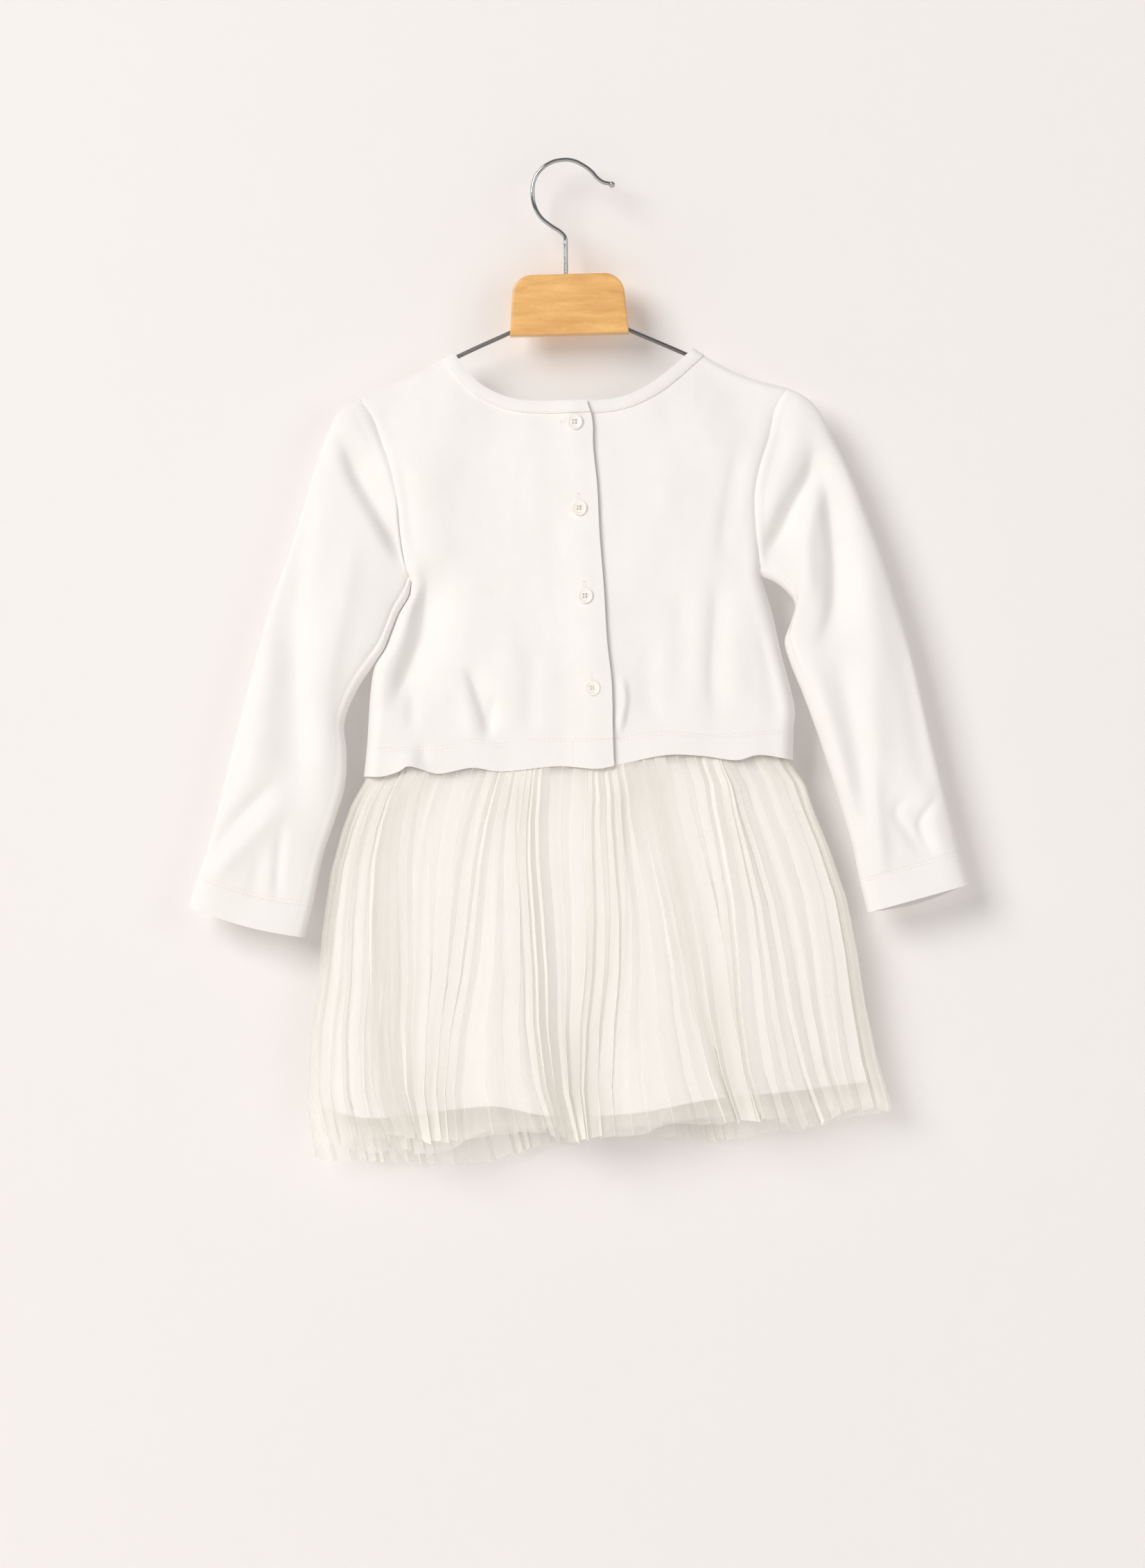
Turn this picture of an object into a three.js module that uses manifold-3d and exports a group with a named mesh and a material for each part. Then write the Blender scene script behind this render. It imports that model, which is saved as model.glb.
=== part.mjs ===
// A child's long-sleeved dress on a small hanger: a jersey bodice that buttons down the back, and a
// finely pleated tulle skirt over a plain lining. Millimetres, +Z up. The dress hangs in the XZ plane
// with its buttoned back towards -Y, and the origin is the inside top of the hook.
import * as THREE from "three";
import { mergeVertices } from "three/addons/utils/BufferGeometryUtils.js";
import Module from "manifold-3d";

const wasm = await Module();
wasm.setup();

// ---- driving dimensions ----
const GAP = 0.3; // between pieces that are sewn or fitted together
const JERSEY = 1.2; // wall of the bodice and sleeves
const BINDING = 1.6; // folded strip round the neck
const BINDING_WIDTH = 8.5;
const TULLE = 1.2; // wall of each pleated layer
const LINING = 1.2;
const LAYER_GAP = 0.6; // between the layers of the skirt at its top
const BAND_LIFT = 0.5; // how far a turned hem stands out
const SHOULDER_FOLD = 3.0; // radius of the cloth folded over the hanger's arm
const CHEST_DEPTH = 10; // half depth of the hanging bodice under the arms
const WAIST_DEPTH = 13.2; // half depth at the bodice hem
const DEPTH_RUN = 60; // how far below the shoulder the full depth is reached
const SIDE_ROUND = 22; // width of the rounding beside each side seam
const ARMHOLE_SHARE = 0.62; // depth at the armhole seam as a share of the bodice's
const OVERLAP_LIFT = 2.0; // the buttonhole side lies this far out over the button side
const UNDERLAP = 25; // how far the button side runs on under the buttonhole side
const SKIRT_TUCK = 8; // how far the skirt reaches up inside the bodice hem
const OUTER_PLEATS = { face: 80, end: 8, height: 1.0 }; // columns, two to a pleat
const INNER_PLEATS = { face: 44, end: 4, height: 0.8 };
const LINING_PANELS = { face: 15, end: 3, height: 0 };
const BUTTON = { radius: 5.5, thickness: 2.3, dish: 0.6, hole: 0.85, pitch: 1.7 };
const WIRE = 1.5; // radius of the hanger's arms and hook
const HOOK_BALL = 2.1;
const SOCKET = 14; // how deep each wire sits in the block
const BLOCK = { bottom: 84, top: 77, height: 42.8, depth: 14, corner: 13, tilt: 1.5, x: 1.7, z: -122.3 };

// ---- tables: each row is one place on the garment ----
const rows = (names, values) =>
  values.map((row) => Object.fromEntries(names.split(" ").map((name, i) => [name, row[i]])));

// Shoulder line, from the left shoulder point over the neck opening to the right one.
const ROOF = rows("x z", [
  [-146.2, -168.0],
  [-130.0, -161.0],
  [-111.7, -152.7],
  [-95.0, -144.2],
  [-79.4, -135.2],
  [0.0, -133.6],
  [89.7, -132.1],
  [103.0, -140.6],
  [116.0, -147.5],
  [131.0, -153.6],
  [145.0, -157.4],
  [156.2, -160.0],
]);
// Visible outline of the body: armhole seam down to the armpit, then side seam down to the hem.
const LEFT_ARMHOLE = rows("z x", [
  [-168.0, -146.2],
  [-180.0, -138.0],
  [-201.0, -129.0],
  [-219.5, -123.0],
  [-242.0, -118.8],
  [-265.0, -116.6],
  [-283.0, -113.7],
  [-298.0, -109.5],
]);
const LEFT_SIDE = rows("z x", [
  [-298.0, -109.5],
  [-307.0, -110.6],
  [-319.0, -117.6],
  [-332.0, -122.6],
  [-344.0, -127.4],
  [-356.0, -134.6],
  [-372.0, -137.6],
  [-414.0, -140.4],
  [-434.6, -142.6],
]);
const RIGHT_ARMHOLE = rows("z x", [
  [-160.0, 156.2],
  [-175.0, 147.3],
  [-196.8, 142.0],
  [-217.6, 136.0],
  [-236.0, 132.8],
  [-260.7, 133.8],
  [-283.5, 136.0],
  [-292.7, 137.0],
]);
const RIGHT_SIDE = rows("z x", [
  [-292.7, 137.0],
  [-320.5, 145.3],
  [-347.4, 151.4],
  [-375.3, 158.8],
  [-388.0, 161.2],
  [-400.6, 160.2],
  [-422.9, 159.7],
]);
const BODICE_HEM = rows("x z", [
  [-142.6, -434.6],
  [-130.0, -434.6],
  [-117.7, -431.0],
  [-111.7, -427.4],
  [-103.4, -429.0],
  [-91.0, -432.6],
  [-66.0, -428.5],
  [-47.5, -431.0],
  [-4.4, -427.3],
  [22.5, -429.0],
  [40.7, -425.3],
  [71.0, -419.4],
  [95.0, -420.0],
  [120.5, -423.0],
  [135.0, -419.4],
  [159.7, -422.9],
]);
// Inner edge of the neck binding, in three runs that meet at the two neck points.
const NECK_BACK_LEFT = rows("x z", [
  [-79.4, -135.2],
  [-74.5, -142.1],
  [-64.2, -154.6],
  [-51.9, -162.7],
  [-35.3, -168.4],
  [-14.7, -170.0],
  [14.0, -169.2],
]);
const NECK_FRONT = rows("x z", [
  [-79.4, -135.2],
  [-72.0, -151.0],
  [-58.0, -170.0],
  [-38.0, -185.0],
  [-12.0, -193.5],
  [5.0, -195.0],
  [30.0, -193.0],
  [52.0, -183.0],
  [70.0, -166.0],
  [82.0, -147.0],
  [89.7, -132.1],
]);
const NECK_BACK_RIGHT = rows("x z", [
  [89.7, -132.1],
  [84.3, -136.8],
  [75.0, -145.3],
  [58.8, -157.7],
  [40.2, -166.4],
  [19.6, -169.5],
  [-7.9, -169.3],
]);
const OVERLAP_EDGE = rows("z x", [
  [-165.0, 13.0],
  [-170.0, 14.2],
  [-177.5, 17.1],
  [-186.0, 18.6],
  [-201.0, 18.8],
  [-227.9, 21.6],
  [-264.9, 23.5],
  [-301.8, 26.5],
  [-339.1, 28.7],
  [-368.0, 31.9],
  [-406.7, 32.8],
  [-432.0, 33.8],
]);
const BUTTONS = rows("x z", [
  [5.9, -184.7],
  [9.1, -245.3],
  [13.2, -307.2],
  [18.4, -372.2],
]);
// Rings of each sleeve below the armhole: outer and inner edge, half depth, and how far the near and
// the far cloth sag past the straight line between the edges.
const LEFT_RINGS = rows("outerX outerZ innerX innerZ depth near far", [
  [-158.0, -174.0, -111.9, -307.0, 8.2, 0, 0],
  [-167.0, -188.7, -119.2, -319.5, 8.8, 0, 0],
  [-177.0, -215.5, -124.2, -332.0, 9.2, 0, 0],
  [-186.0, -246.0, -129.4, -345.0, 9.4, 0, 0],
  [-195.5, -276.5, -138.2, -357.7, 9.4, 0, 0],
  [-206.0, -305.5, -148.5, -373.5, 9.2, 0, 0],
  [-215.5, -337.0, -157.3, -396.0, 9.0, 0, 0],
  [-225.0, -373.5, -156.0, -417.0, 8.8, 0, 0],
  [-234.0, -409.0, -156.8, -440.0, 8.6, 1, 1],
  [-243.0, -446.0, -164.0, -465.0, 8.4, 2, 1],
  [-251.9, -481.2, -172.5, -490.5, 8.2, 3, 1],
  [-259.9, -504.9, -180.0, -525.5, 8.2, 3, 1],
  [-266.6, -526.3, -185.7, -548.1, 8.4, 3, 1],
]);
const RIGHT_RINGS = rows("outerX outerZ innerX innerZ depth near far", [
  [167.0, -165.5, 148.0, -297.0, 8.2, 0, 0],
  [177.5, -175.0, 158.5, -306.0, 8.8, 0, 0],
  [188.7, -196.8, 162.3, -315.0, 9.2, 0, 0],
  [199.5, -219.0, 159.0, -326.5, 9.4, 0, 0],
  [211.2, -248.4, 154.8, -339.0, 9.4, 0, 0],
  [221.5, -277.0, 158.3, -353.0, 9.2, 0, 0],
  [233.0, -313.0, 167.5, -375.5, 9.0, 0, 0],
  [243.0, -347.0, 177.5, -402.5, 8.8, 0, 0],
  [252.0, -385.0, 186.5, -430.0, 8.6, 0, 1],
  [260.5, -421.5, 194.5, -456.0, 8.4, 0, 2],
  [268.5, -454.0, 202.5, -483.0, 8.4, 0, 3],
  [277.5, -489.0, 208.0, -509.0, 8.8, 0, 4],
  [283.5, -510.9, 213.3, -530.5, 9.2, 0, 4],
]);
// Outline of the skirt from its top (fall 0) to its hem (fall 1): side edges, half depth in the
// middle, and radius of the rounded ends.
const SKIRT = rows("fall left right depth end", [
  [0.0, -139.4, 156.8, 12.1, 8.5],
  [0.035, -140.4, 157.6, 12.1, 8.5],
  [0.1, -151.2, 169.5, 12.9, 9.0],
  [0.17, -159.0, 176.3, 13.8, 9.4],
  [0.27, -167.2, 187.3, 16.0, 10.0],
  [0.42, -173.5, 200.5, 18.0, 10.6],
  [0.57, -177.6, 208.0, 19.8, 11.2],
  [0.71, -184.3, 213.5, 21.4, 12.0],
  [0.87, -187.0, 221.8, 23.0, 13.0],
  [1.0, -182.0, 231.8, 24.0, 14.0],
]);
const OUTER_FALLS = [0, 0.035, 0.13, 0.4, 0.75, 1];
const INNER_FALLS = [0, 0.13, 0.4, 1];
// Broad soft folds of the skirt: place across it from -1 (left) to 1 (right), width on the same
// scale, and how far the cloth stands out at the hem on the buttoned side and on the far side.
const SKIRT_FOLDS = rows("place width near far", [
  [-0.86, 0.09, 3.0, 1.5],
  [-0.6, 0.1, -1.2, 3.0],
  [-0.36, 0.09, 3.5, -1.0],
  [-0.1, 0.1, -1.2, 3.0],
  [0.14, 0.09, 3.5, -1.2],
  [0.4, 0.1, -1.0, 3.0],
  [0.64, 0.09, 3.5, -1.0],
  [0.88, 0.08, -0.8, 2.0],
]);
const OUTER_HEM_NEAR = rows("x z", [
  [-182.0, -694.0],
  [-122.5, -695.8],
  [-121.0, -687.5],
  [-91.8, -691.9],
  [-49.5, -688.0],
  [-21.6, -685.5],
  [12.7, -690.4],
  [27.0, -687.0],
  [47.4, -687.0],
  [70.9, -680.1],
  [101.9, -679.4],
  [155.0, -677.7],
  [157.6, -684.0],
  [179.3, -678.7],
  [198.2, -670.8],
  [231.8, -668.4],
]);
const OUTER_HEM_FAR = rows("x z", [
  [-182.0, -700.0],
  [-174.6, -704.4],
  [-134.0, -708.3],
  [-102.9, -709.5],
  [-52.9, -708.3],
  [-26.2, -698.7],
  [14.2, -691.9],
  [40.7, -688.9],
  [70.9, -691.9],
  [109.8, -692.9],
  [156.8, -686.4],
  [188.1, -680.1],
  [231.8, -670.0],
]);
const INNER_HEM = rows("x z", [
  [-180.0, -690.0],
  [-122.0, -692.0],
  [-120.5, -697.0],
  [-80.0, -697.0],
  [-60.0, -685.5],
  [0.0, -683.0],
  [60.0, -679.5],
  [100.0, -675.5],
  [150.0, -674.0],
  [229.0, -665.0],
]);
const LINING_HEM = rows("x z", [
  [-178.0, -669.8],
  [-139.7, -675.5],
  [-79.4, -669.3],
  [-49.5, -666.9],
  [-10.8, -673.8],
  [47.4, -671.5],
  [83.3, -665.3],
  [106.8, -661.4],
  [161.5, -655.9],
  [225.0, -650.0],
]);
// Largest soft folds of the bodice and sleeves on the buttoned side: a line from top to bottom, its
// width, and its depth as a share of the cloth's own depth there (a ridge is negative).
const CLOTH_FOLDS = rows("topX topZ lowX lowZ width share", [
  [-158, -192, -126, -280, 9, 0.3],
  [-196, -225, -214, -395, 10, 0.28],
  [-150, -330, -176, -400, 9, -0.2],
  [176, -186, 146, -275, 9, 0.32],
  [172, -238, 182, -330, 8, 0.3],
  [214, -330, 236, -440, 11, 0.2],
  [-88, -330, -96, -405, 12, 0.14],
  [-54, -360, -54, -410, 8, -0.1],
  [92, -300, 100, -400, 13, 0.14],
  [124, -215, 128, -330, 8, -0.12],
]);
const HOOK_WIRE = rows("x z", [
  [-0.2, -79.6],
  [-0.5, -53.4],
  [-2.9, -50.5],
  [-11.8, -44.3],
  [-17.8, -39.2],
  [-21.9, -32.3],
  [-23.8, -23.3],
  [-22.8, -13.2],
  [-18.8, -6.4],
  [-11.8, -0.8],
  [-3.9, 1.5],
  [4.2, 1.2],
  [12.2, -2.4],
  [18.1, -6.9],
  [22.0, -11.3],
  [26.2, -14.2],
  [30.2, -15.2],
  [32.3, -15.9],
]);
const LEFT_ARM = rows("x z", [
  [-41.0, -121.3],
  [-77.4, -138.0],
  [-111.7, -155.8],
  [-141.0, -168.6],
]);
const RIGHT_ARM = rows("x z", [
  [44.2, -118.7],
  [83.3, -135.4],
  [116.0, -150.3],
  [150.0, -164.0],
]);

// ---- small mathematics ----
const lerp = THREE.MathUtils.lerp;
const clamp = THREE.MathUtils.clamp;
const flat = (x, z, y = 0) => new THREE.Vector3(x, y, z);
const AWAY = new THREE.Vector3(0, 1, 0);
// Rises from 0 to 1 like a quarter of a circle.
const quarter = (share) => Math.sqrt(1 - (1 - clamp(share, 0, 1)) ** 2);
const smooth = (share) => THREE.MathUtils.smoothstep(share, 0, 1);

// A function that reads one column of a table against another, straight between rows.
function reader(table, from, to) {
  const sorted = [...table].sort((a, b) => a[from] - b[from]);
  return (value) => {
    const last = sorted.length - 2;
    let i = 0;
    while (i < last && value > sorted[i + 1][from]) i += 1;
    const share = (value - sorted[i][from]) / (sorted[i + 1][from] - sorted[i][from]);
    return lerp(sorted[i][to], sorted[i + 1][to], clamp(share, 0, 1));
  };
}

// A smooth curve in the XZ plane through a table's rows.
const curveOf = (table) =>
  new THREE.CatmullRomCurve3(table.map((row) => flat(row.x, row.z)), false, "centripetal");

const roof = reader(ROOF, "x", "z");
const leftEdge = reader([...LEFT_ARMHOLE, ...LEFT_SIDE.slice(1)], "z", "x");
const rightEdge = reader([...RIGHT_ARMHOLE, ...RIGHT_SIDE.slice(1)], "z", "x");
const bodiceHem = reader(BODICE_HEM, "x", "z");
const overlapEdge = reader(OVERLAP_EDGE, "z", "x");

// ---- cloth ----
// Share of the depth that the soft folds take away at a place on the buttoned side.
function foldShare(x, z) {
  let share = 0;
  for (const fold of CLOTH_FOLDS) {
    const down = clamp((fold.topZ - z) / (fold.topZ - fold.lowZ), -0.3, 1.3);
    const away = (x - lerp(fold.topX, fold.lowX, down)) / fold.width;
    const ends = smooth((down + 0.25) / 0.5) * smooth((1.25 - down) / 0.5);
    share += fold.share * Math.exp(-away * away) * ends;
  }
  return share;
}

// How much of the bodice's depth is left at a distance from one side edge.
function sideShare(distance, atSeam) {
  const round = quarter(distance / SIDE_ROUND);
  return Math.sqrt(atSeam ** 2 + (1 - atSeam ** 2) * round ** 2);
}

// Depth at the armhole seam as a share of the bodice's: none at the armpit, all at the shoulder point.
function seamShare(z, armhole) {
  const [shoulder, armpit] = [armhole[0].z, armhole.at(-1).z];
  const up = (z - armpit) / (shoulder - armpit);
  if (up <= 0) return 0;
  return ARMHOLE_SHARE * quarter(up / 0.25) + (1 - ARMHOLE_SHARE) * smooth((up - 0.7) / 0.3);
}

// Half depth of the hanging bodice at a place in its outline.
function bodiceDepth(x, z) {
  const below = Math.max(0, (roof(x) - z) * 0.9);
  const full = lerp(CHEST_DEPTH, WAIST_DEPTH, smooth((-300 - z) / 110));
  const fold = SHOULDER_FOLD * quarter(below / SHOULDER_FOLD);
  const fromTop = fold + (full - SHOULDER_FOLD) * smooth(below / DEPTH_RUN);
  const left = sideShare(x - leftEdge(z), seamShare(z, LEFT_ARMHOLE));
  const right = sideShare(rightEdge(z) - x, seamShare(z, RIGHT_ARMHOLE));
  return fromTop * left * right;
}

const nearY = (x, z) => -bodiceDepth(x, z) * (1 - foldShare(x, z));
const farY = (x, z) => bodiceDepth(x, z);
// The lift of the buttonhole side starts well outside the button side's hidden edge.
const overlapY = (x, z) => nearY(x, z) - OVERLAP_LIFT * smooth((x - overlapEdge(z) + 66) / 23);

// Outward normal of a surface whose depth is known at every place of the outline.
function depthNormal(depthAt, x, z) {
  const step = 0.3;
  const slopeX = (depthAt(x + step, z) - depthAt(x - step, z)) / (2 * step);
  const slopeZ = (depthAt(x, z + step) - depthAt(x, z - step)) / (2 * step);
  const outward = Math.sign(depthAt(x, z)) || 1;
  return flat(-slopeX, -slopeZ, 1).normalize().multiplyScalar(outward);
}

// Gives every point of a grid an outward normal from its neighbours. A point may bring its own.
function addNormals(grid, closed, outward) {
  const columns = grid[0].length;
  const pick = (r, c) => {
    const row = grid[clamp(r, 0, grid.length - 1)];
    return row[closed ? (c + columns) % columns : clamp(c, 0, columns - 1)].at;
  };
  grid.forEach((row, r) =>
    row.forEach((point, c) => {
      if (point.normal) return;
      const down = pick(r + 1, c).clone().sub(pick(r - 1, c));
      const along = pick(r, c + 1).clone().sub(pick(r, c - 1));
      point.normal = down.cross(along).normalize();
      if (point.normal.dot(outward(point.at)) < 0) point.normal.negate();
    }),
  );
}

// A closed wall of cloth on a grid of points of its middle surface.
function clothWall(grid, thickness, closed) {
  const [height, width] = [grid.length, grid[0].length];
  const positions = [];
  for (const side of [1, -1])
    for (const row of grid)
      for (const point of row) {
        const out = side > 0 ? thickness / 2 + (point.lift ?? 0) : -thickness / 2;
        positions.push(...point.at.clone().addScaledVector(point.normal, out).toArray());
      }
  const at = (side, r, c) => side * height * width + r * width + (c % width);
  const index = [];
  const quad = (a, b, c, d) => index.push(a, b, c, a, c, d);
  const steps = closed ? width : width - 1;
  for (let r = 0; r < height - 1; r += 1)
    for (let c = 0; c < steps; c += 1) {
      quad(at(0, r, c), at(0, r, c + 1), at(0, r + 1, c + 1), at(0, r + 1, c));
      quad(at(1, r, c), at(1, r + 1, c), at(1, r + 1, c + 1), at(1, r, c + 1));
    }
  for (let c = 0; c < steps; c += 1) {
    quad(at(1, 0, c), at(1, 0, c + 1), at(0, 0, c + 1), at(0, 0, c));
    const end = height - 1;
    quad(at(0, end, c), at(0, end, c + 1), at(1, end, c + 1), at(1, end, c));
  }
  if (!closed)
    for (let r = 0; r < height - 1; r += 1) {
      const end = width - 1;
      quad(at(0, r, 0), at(0, r + 1, 0), at(1, r + 1, 0), at(1, r, 0));
      quad(at(1, r, end), at(1, r + 1, end), at(0, r + 1, end), at(0, r, end));
    }
  return facingOut(positions, index);
}

// Builds a geometry and turns its faces outward if they point in.
function facingOut(positions, index) {
  let volume = 0;
  const corner = (i) => new THREE.Vector3().fromArray(positions, 3 * index[i]);
  for (let i = 0; i < index.length; i += 3) volume += corner(i).dot(corner(i + 1).cross(corner(i + 2)));
  if (volume < 0) index.reverse();
  const geometry = new THREE.BufferGeometry();
  geometry.setAttribute("position", new THREE.Float32BufferAttribute(positions, 3));
  return geometry.setIndex(index);
}

// ---- armhole seams, shared by the bodice panels and the sleeves ----
// Stations down the seam, closer together where it turns over the shoulder and under the arm.
const SEAM_STATIONS = [0, 0.008, 0.028, 0.09, 0.2, 0.34, 0.5, 0.66, 0.8, 0.91, 0.975, 1];

function armholeSeam(table, outwardX) {
  const curve = curveOf(table);
  const side = SEAM_STATIONS.map((share) => {
    const { x, z } = curve.getPointAt(share);
    // The sleeve leaves the seam along the shoulder at its top, and straight sideways below.
    const across = flat(outwardX, -0.35 * (1 - smooth(share / 0.3))).normalize();
    return { x: x - 0.5 * JERSEY * outwardX * smooth(share / 0.1), z, across };
  });
  const last = side.length - 1;
  const loop = [
    ...side.map((s, i) => ({ ...s, at: flat(s.x, s.z, i % last ? nearY(s.x, s.z) : 0) })),
    ...side.slice(1, last).reverse().map((s) => ({ ...s, at: flat(s.x, s.z, farY(s.x, s.z)) })),
  ];
  const middle = flat(side[6].x, side[6].z);
  loop.forEach((point, i) => {
    const next = loop[(i + 1) % loop.length].at;
    const before = loop[(i + loop.length - 1) % loop.length].at;
    point.normal = next.clone().sub(before).cross(point.across).normalize();
    if (point.normal.dot(point.at.clone().sub(middle)) < 0) point.normal.negate();
  });
  return {
    near: loop.slice(0, last + 1),
    far: [loop[0], ...loop.slice(last + 1).reverse(), loop[last]],
    loop,
  };
}
const LEFT_SEAM = armholeSeam(LEFT_ARMHOLE, -1);
const RIGHT_SEAM = armholeSeam(RIGHT_ARMHOLE, 1);

// ---- neck line, shared by the bodice panels and the binding ----
// Distances from a neck point, closer together where the cloth turns over the hanger's arm.
const NECK_STEPS = [0, 1.2, 3.2, 7, 14, 27, 44, 63, 84];
const LEFT_SLOPE = flat(-15.6, -9).normalize();
const RIGHT_SLOPE = flat(13.3, -8.5).normalize();

// Stations along one run of the neck: the binding's inner edge, and the seam on its outer edge with
// the direction across the seam and the cloth's normal there.
function neckRun({ table, distances, ends, depthAt }) {
  const curve = curveOf(table);
  const length = curve.getLength();
  const stations = distances(length).map((distance) => {
    const share = clamp(distance / length, 0, 1);
    const inner = curve.getPointAt(share);
    const along = curve.getTangentAt(share);
    const outward = flat(along.z, -along.x).normalize();
    if (outward.dot(inner.clone().sub(flat(5, -120))) < 0) outward.negate();
    if (share === 0 && ends[0]) outward.copy(ends[0]);
    if (share === 1 && ends[1]) outward.copy(ends[1]);
    const onRidge = [0, 1].some((end) => share === end && ends[end].ridge);
    const seam = inner.clone().addScaledVector(outward, BINDING_WIDTH + GAP / 2);
    for (const point of [inner, seam]) {
      if (onRidge) point.z = roof(point.x);
      else point.y = depthAt(point.x, point.z);
    }
    const across = seam.clone().sub(inner).normalize();
    return { inner, seam, across, onRidge };
  });
  stations.forEach((station, i) => {
    const before = stations[Math.max(0, i - 1)].seam;
    const next = stations[Math.min(stations.length - 1, i + 1)].seam;
    const along = station.onRidge ? AWAY : next.clone().sub(before).normalize();
    station.normal = along.clone().cross(station.across).normalize();
    const out = station.onRidge ? flat(0, 1) : flat(0, 0, depthAt(station.seam.x, station.seam.z));
    if (station.normal.dot(out) < 0) station.normal.negate();
  });
  return stations;
}
const ridge = (slope) => Object.assign(slope.clone(), { ridge: true });
const fromStart = (length) => [...NECK_STEPS.filter((d) => d < length - 6), length];
const fromBoth = (length) => [
  ...NECK_STEPS,
  length / 2,
  ...NECK_STEPS.map((d) => length - d).reverse(),
];
const BACK_LEFT_NECK = neckRun({
  table: NECK_BACK_LEFT,
  distances: fromStart,
  ends: [ridge(LEFT_SLOPE), flat(0.35, -0.94)],
  depthAt: overlapY,
});
const FRONT_NECK = neckRun({
  table: NECK_FRONT,
  distances: fromBoth,
  ends: [ridge(LEFT_SLOPE), ridge(RIGHT_SLOPE)],
  depthAt: farY,
});
const BACK_RIGHT_NECK = neckRun({
  table: NECK_BACK_RIGHT,
  distances: fromStart,
  ends: [ridge(RIGHT_SLOPE), flat(0, -1)],
  depthAt: nearY,
});

// The edge of a bodice panel along the neck, on the far side of the seam's gap.
const neckLine = (run, y) =>
  run.map((station) => {
    const at = station.seam.clone().addScaledVector(station.across, GAP / 2);
    if (station.onRidge) at.y = (Math.sign(y) * GAP) / 2;
    return { at, normal: station.normal.clone() };
  });

// ---- bodice panels ----
const ARMPIT_ROW = 0.5; // share of a panel's height where its side seam ends and its armhole begins
const LOW_ROWS = [0, 0.064, 0.08, 0.2, 0.33, 0.42, 0.475];
const ROW_SHARES = [
  ...LOW_ROWS,
  ...[...SEAM_STATIONS].reverse().map((share) => 1 - (1 - ARMPIT_ROW) * share),
];
const SHOULDER_SHARES = [0, 0.09, 0.3, 0.62];

// Points up one side of a panel, hem to shoulder, with the normals that its seams need.
function sideColumn(sideTable, seam, outwardX, y) {
  const curve = curveOf([...sideTable].reverse());
  const low = LOW_ROWS.map((share) => {
    const at = curve.getPointAt(share / ARMPIT_ROW);
    const along = curve.getTangentAt(share / ARMPIT_ROW);
    const normal = flat(along.z * outwardX, -along.x * outwardX).normalize();
    at.x -= 0.5 * JERSEY * outwardX;
    at.y = (Math.sign(y) * GAP) / 2;
    return { at, normal };
  });
  const stations = y < 0 ? seam.near : seam.far;
  const high = [...stations].reverse().map((station, i) => {
    const at = station.at.clone().addScaledVector(station.across, -GAP / 2);
    if (i === 0 || i === stations.length - 1) at.y = (Math.sign(y) * GAP) / 2;
    return { at, normal: station.normal.clone() };
  });
  return [...low, ...high];
}

// Points along a shoulder seam from the shoulder point towards the neck.
function shoulderRun(from, to, y) {
  return SHOULDER_SHARES.map((share) => {
    const x = lerp(from, to, share);
    const slope = flat(0.5, roof(x + 0.25) - roof(x - 0.25));
    return { at: flat(x, roof(x), (Math.sign(y) * GAP) / 2), normal: flat(-slope.z, slope.x).normalize() };
  });
}

// A panel spread between a left side, a right side, a top line and a bottom line (a Coons patch in
// the XZ plane), then given its depth.
function panel({ left, right, top, bottom, shares, depthAt }) {
  const grid = ROW_SHARES.map((up, r) =>
    shares.map((across, c) => {
      if (up === 1) return { ...top[c] };
      if (c === 0) return { ...left[r] };
      if (c === shares.length - 1) return { ...right[r] };
      const last = ROW_SHARES.length - 1;
      const at = bottom(across).multiplyScalar(1 - up).addScaledVector(top[c].at, up);
      for (const [side, weight] of [[left, 1 - across], [right, across]])
        at.addScaledVector(side[r].at.clone().sub(side[0].at.clone().lerp(side[last].at, up)), weight);
      at.y = depthAt(at.x, at.z);
      return { at, normal: depthNormal(depthAt, at.x, at.z) };
    }),
  );
  grid.forEach((row, r) =>
    row.forEach((point) => {
      point.lift = ROW_SHARES[r] < 0.07 ? BAND_LIFT : 0;
    }),
  );
  return clothWall(grid, JERSEY, false);
}

const hemLine = (from, to) => (across) => {
  const x = lerp(from, to, across);
  return flat(x, bodiceHem(x));
};
const withSpread = (count, power) =>
  Array.from({ length: count }, (_, i) => (i / (count - 1)) ** power);
// Shares across the hem, closer together beside a side seam.
const SIDE_SPREAD = 1.6;

// The straight edge of a back panel, hem to neck, at a distance from the overlap's edge.
function backEdge(offset, topZ, y) {
  const bottomZ = bodiceHem(overlapEdge(-427) + offset);
  return ROW_SHARES.map((up) => {
    const z = lerp(bottomZ, topZ, up);
    const x = overlapEdge(z) + offset;
    return { at: flat(x, z, y(x, z)), normal: depthNormal(y, x, z) };
  });
}

function backLeft() {
  const neck = neckLine(BACK_LEFT_NECK, -1);
  const top = [...shoulderRun(LEFT_SEAM.loop[0].at.x, neck[0].at.x, -1), ...neck];
  const left = sideColumn(LEFT_SIDE, LEFT_SEAM, -1, -1);
  const right = backEdge(0, neck.at(-1).at.z, overlapY);
  const bottom = hemLine(left[0].at.x, right[0].at.x);
  const shares = withSpread(top.length, SIDE_SPREAD);
  return panel({ left, right, top, bottom, shares, depthAt: overlapY });
}

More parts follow.
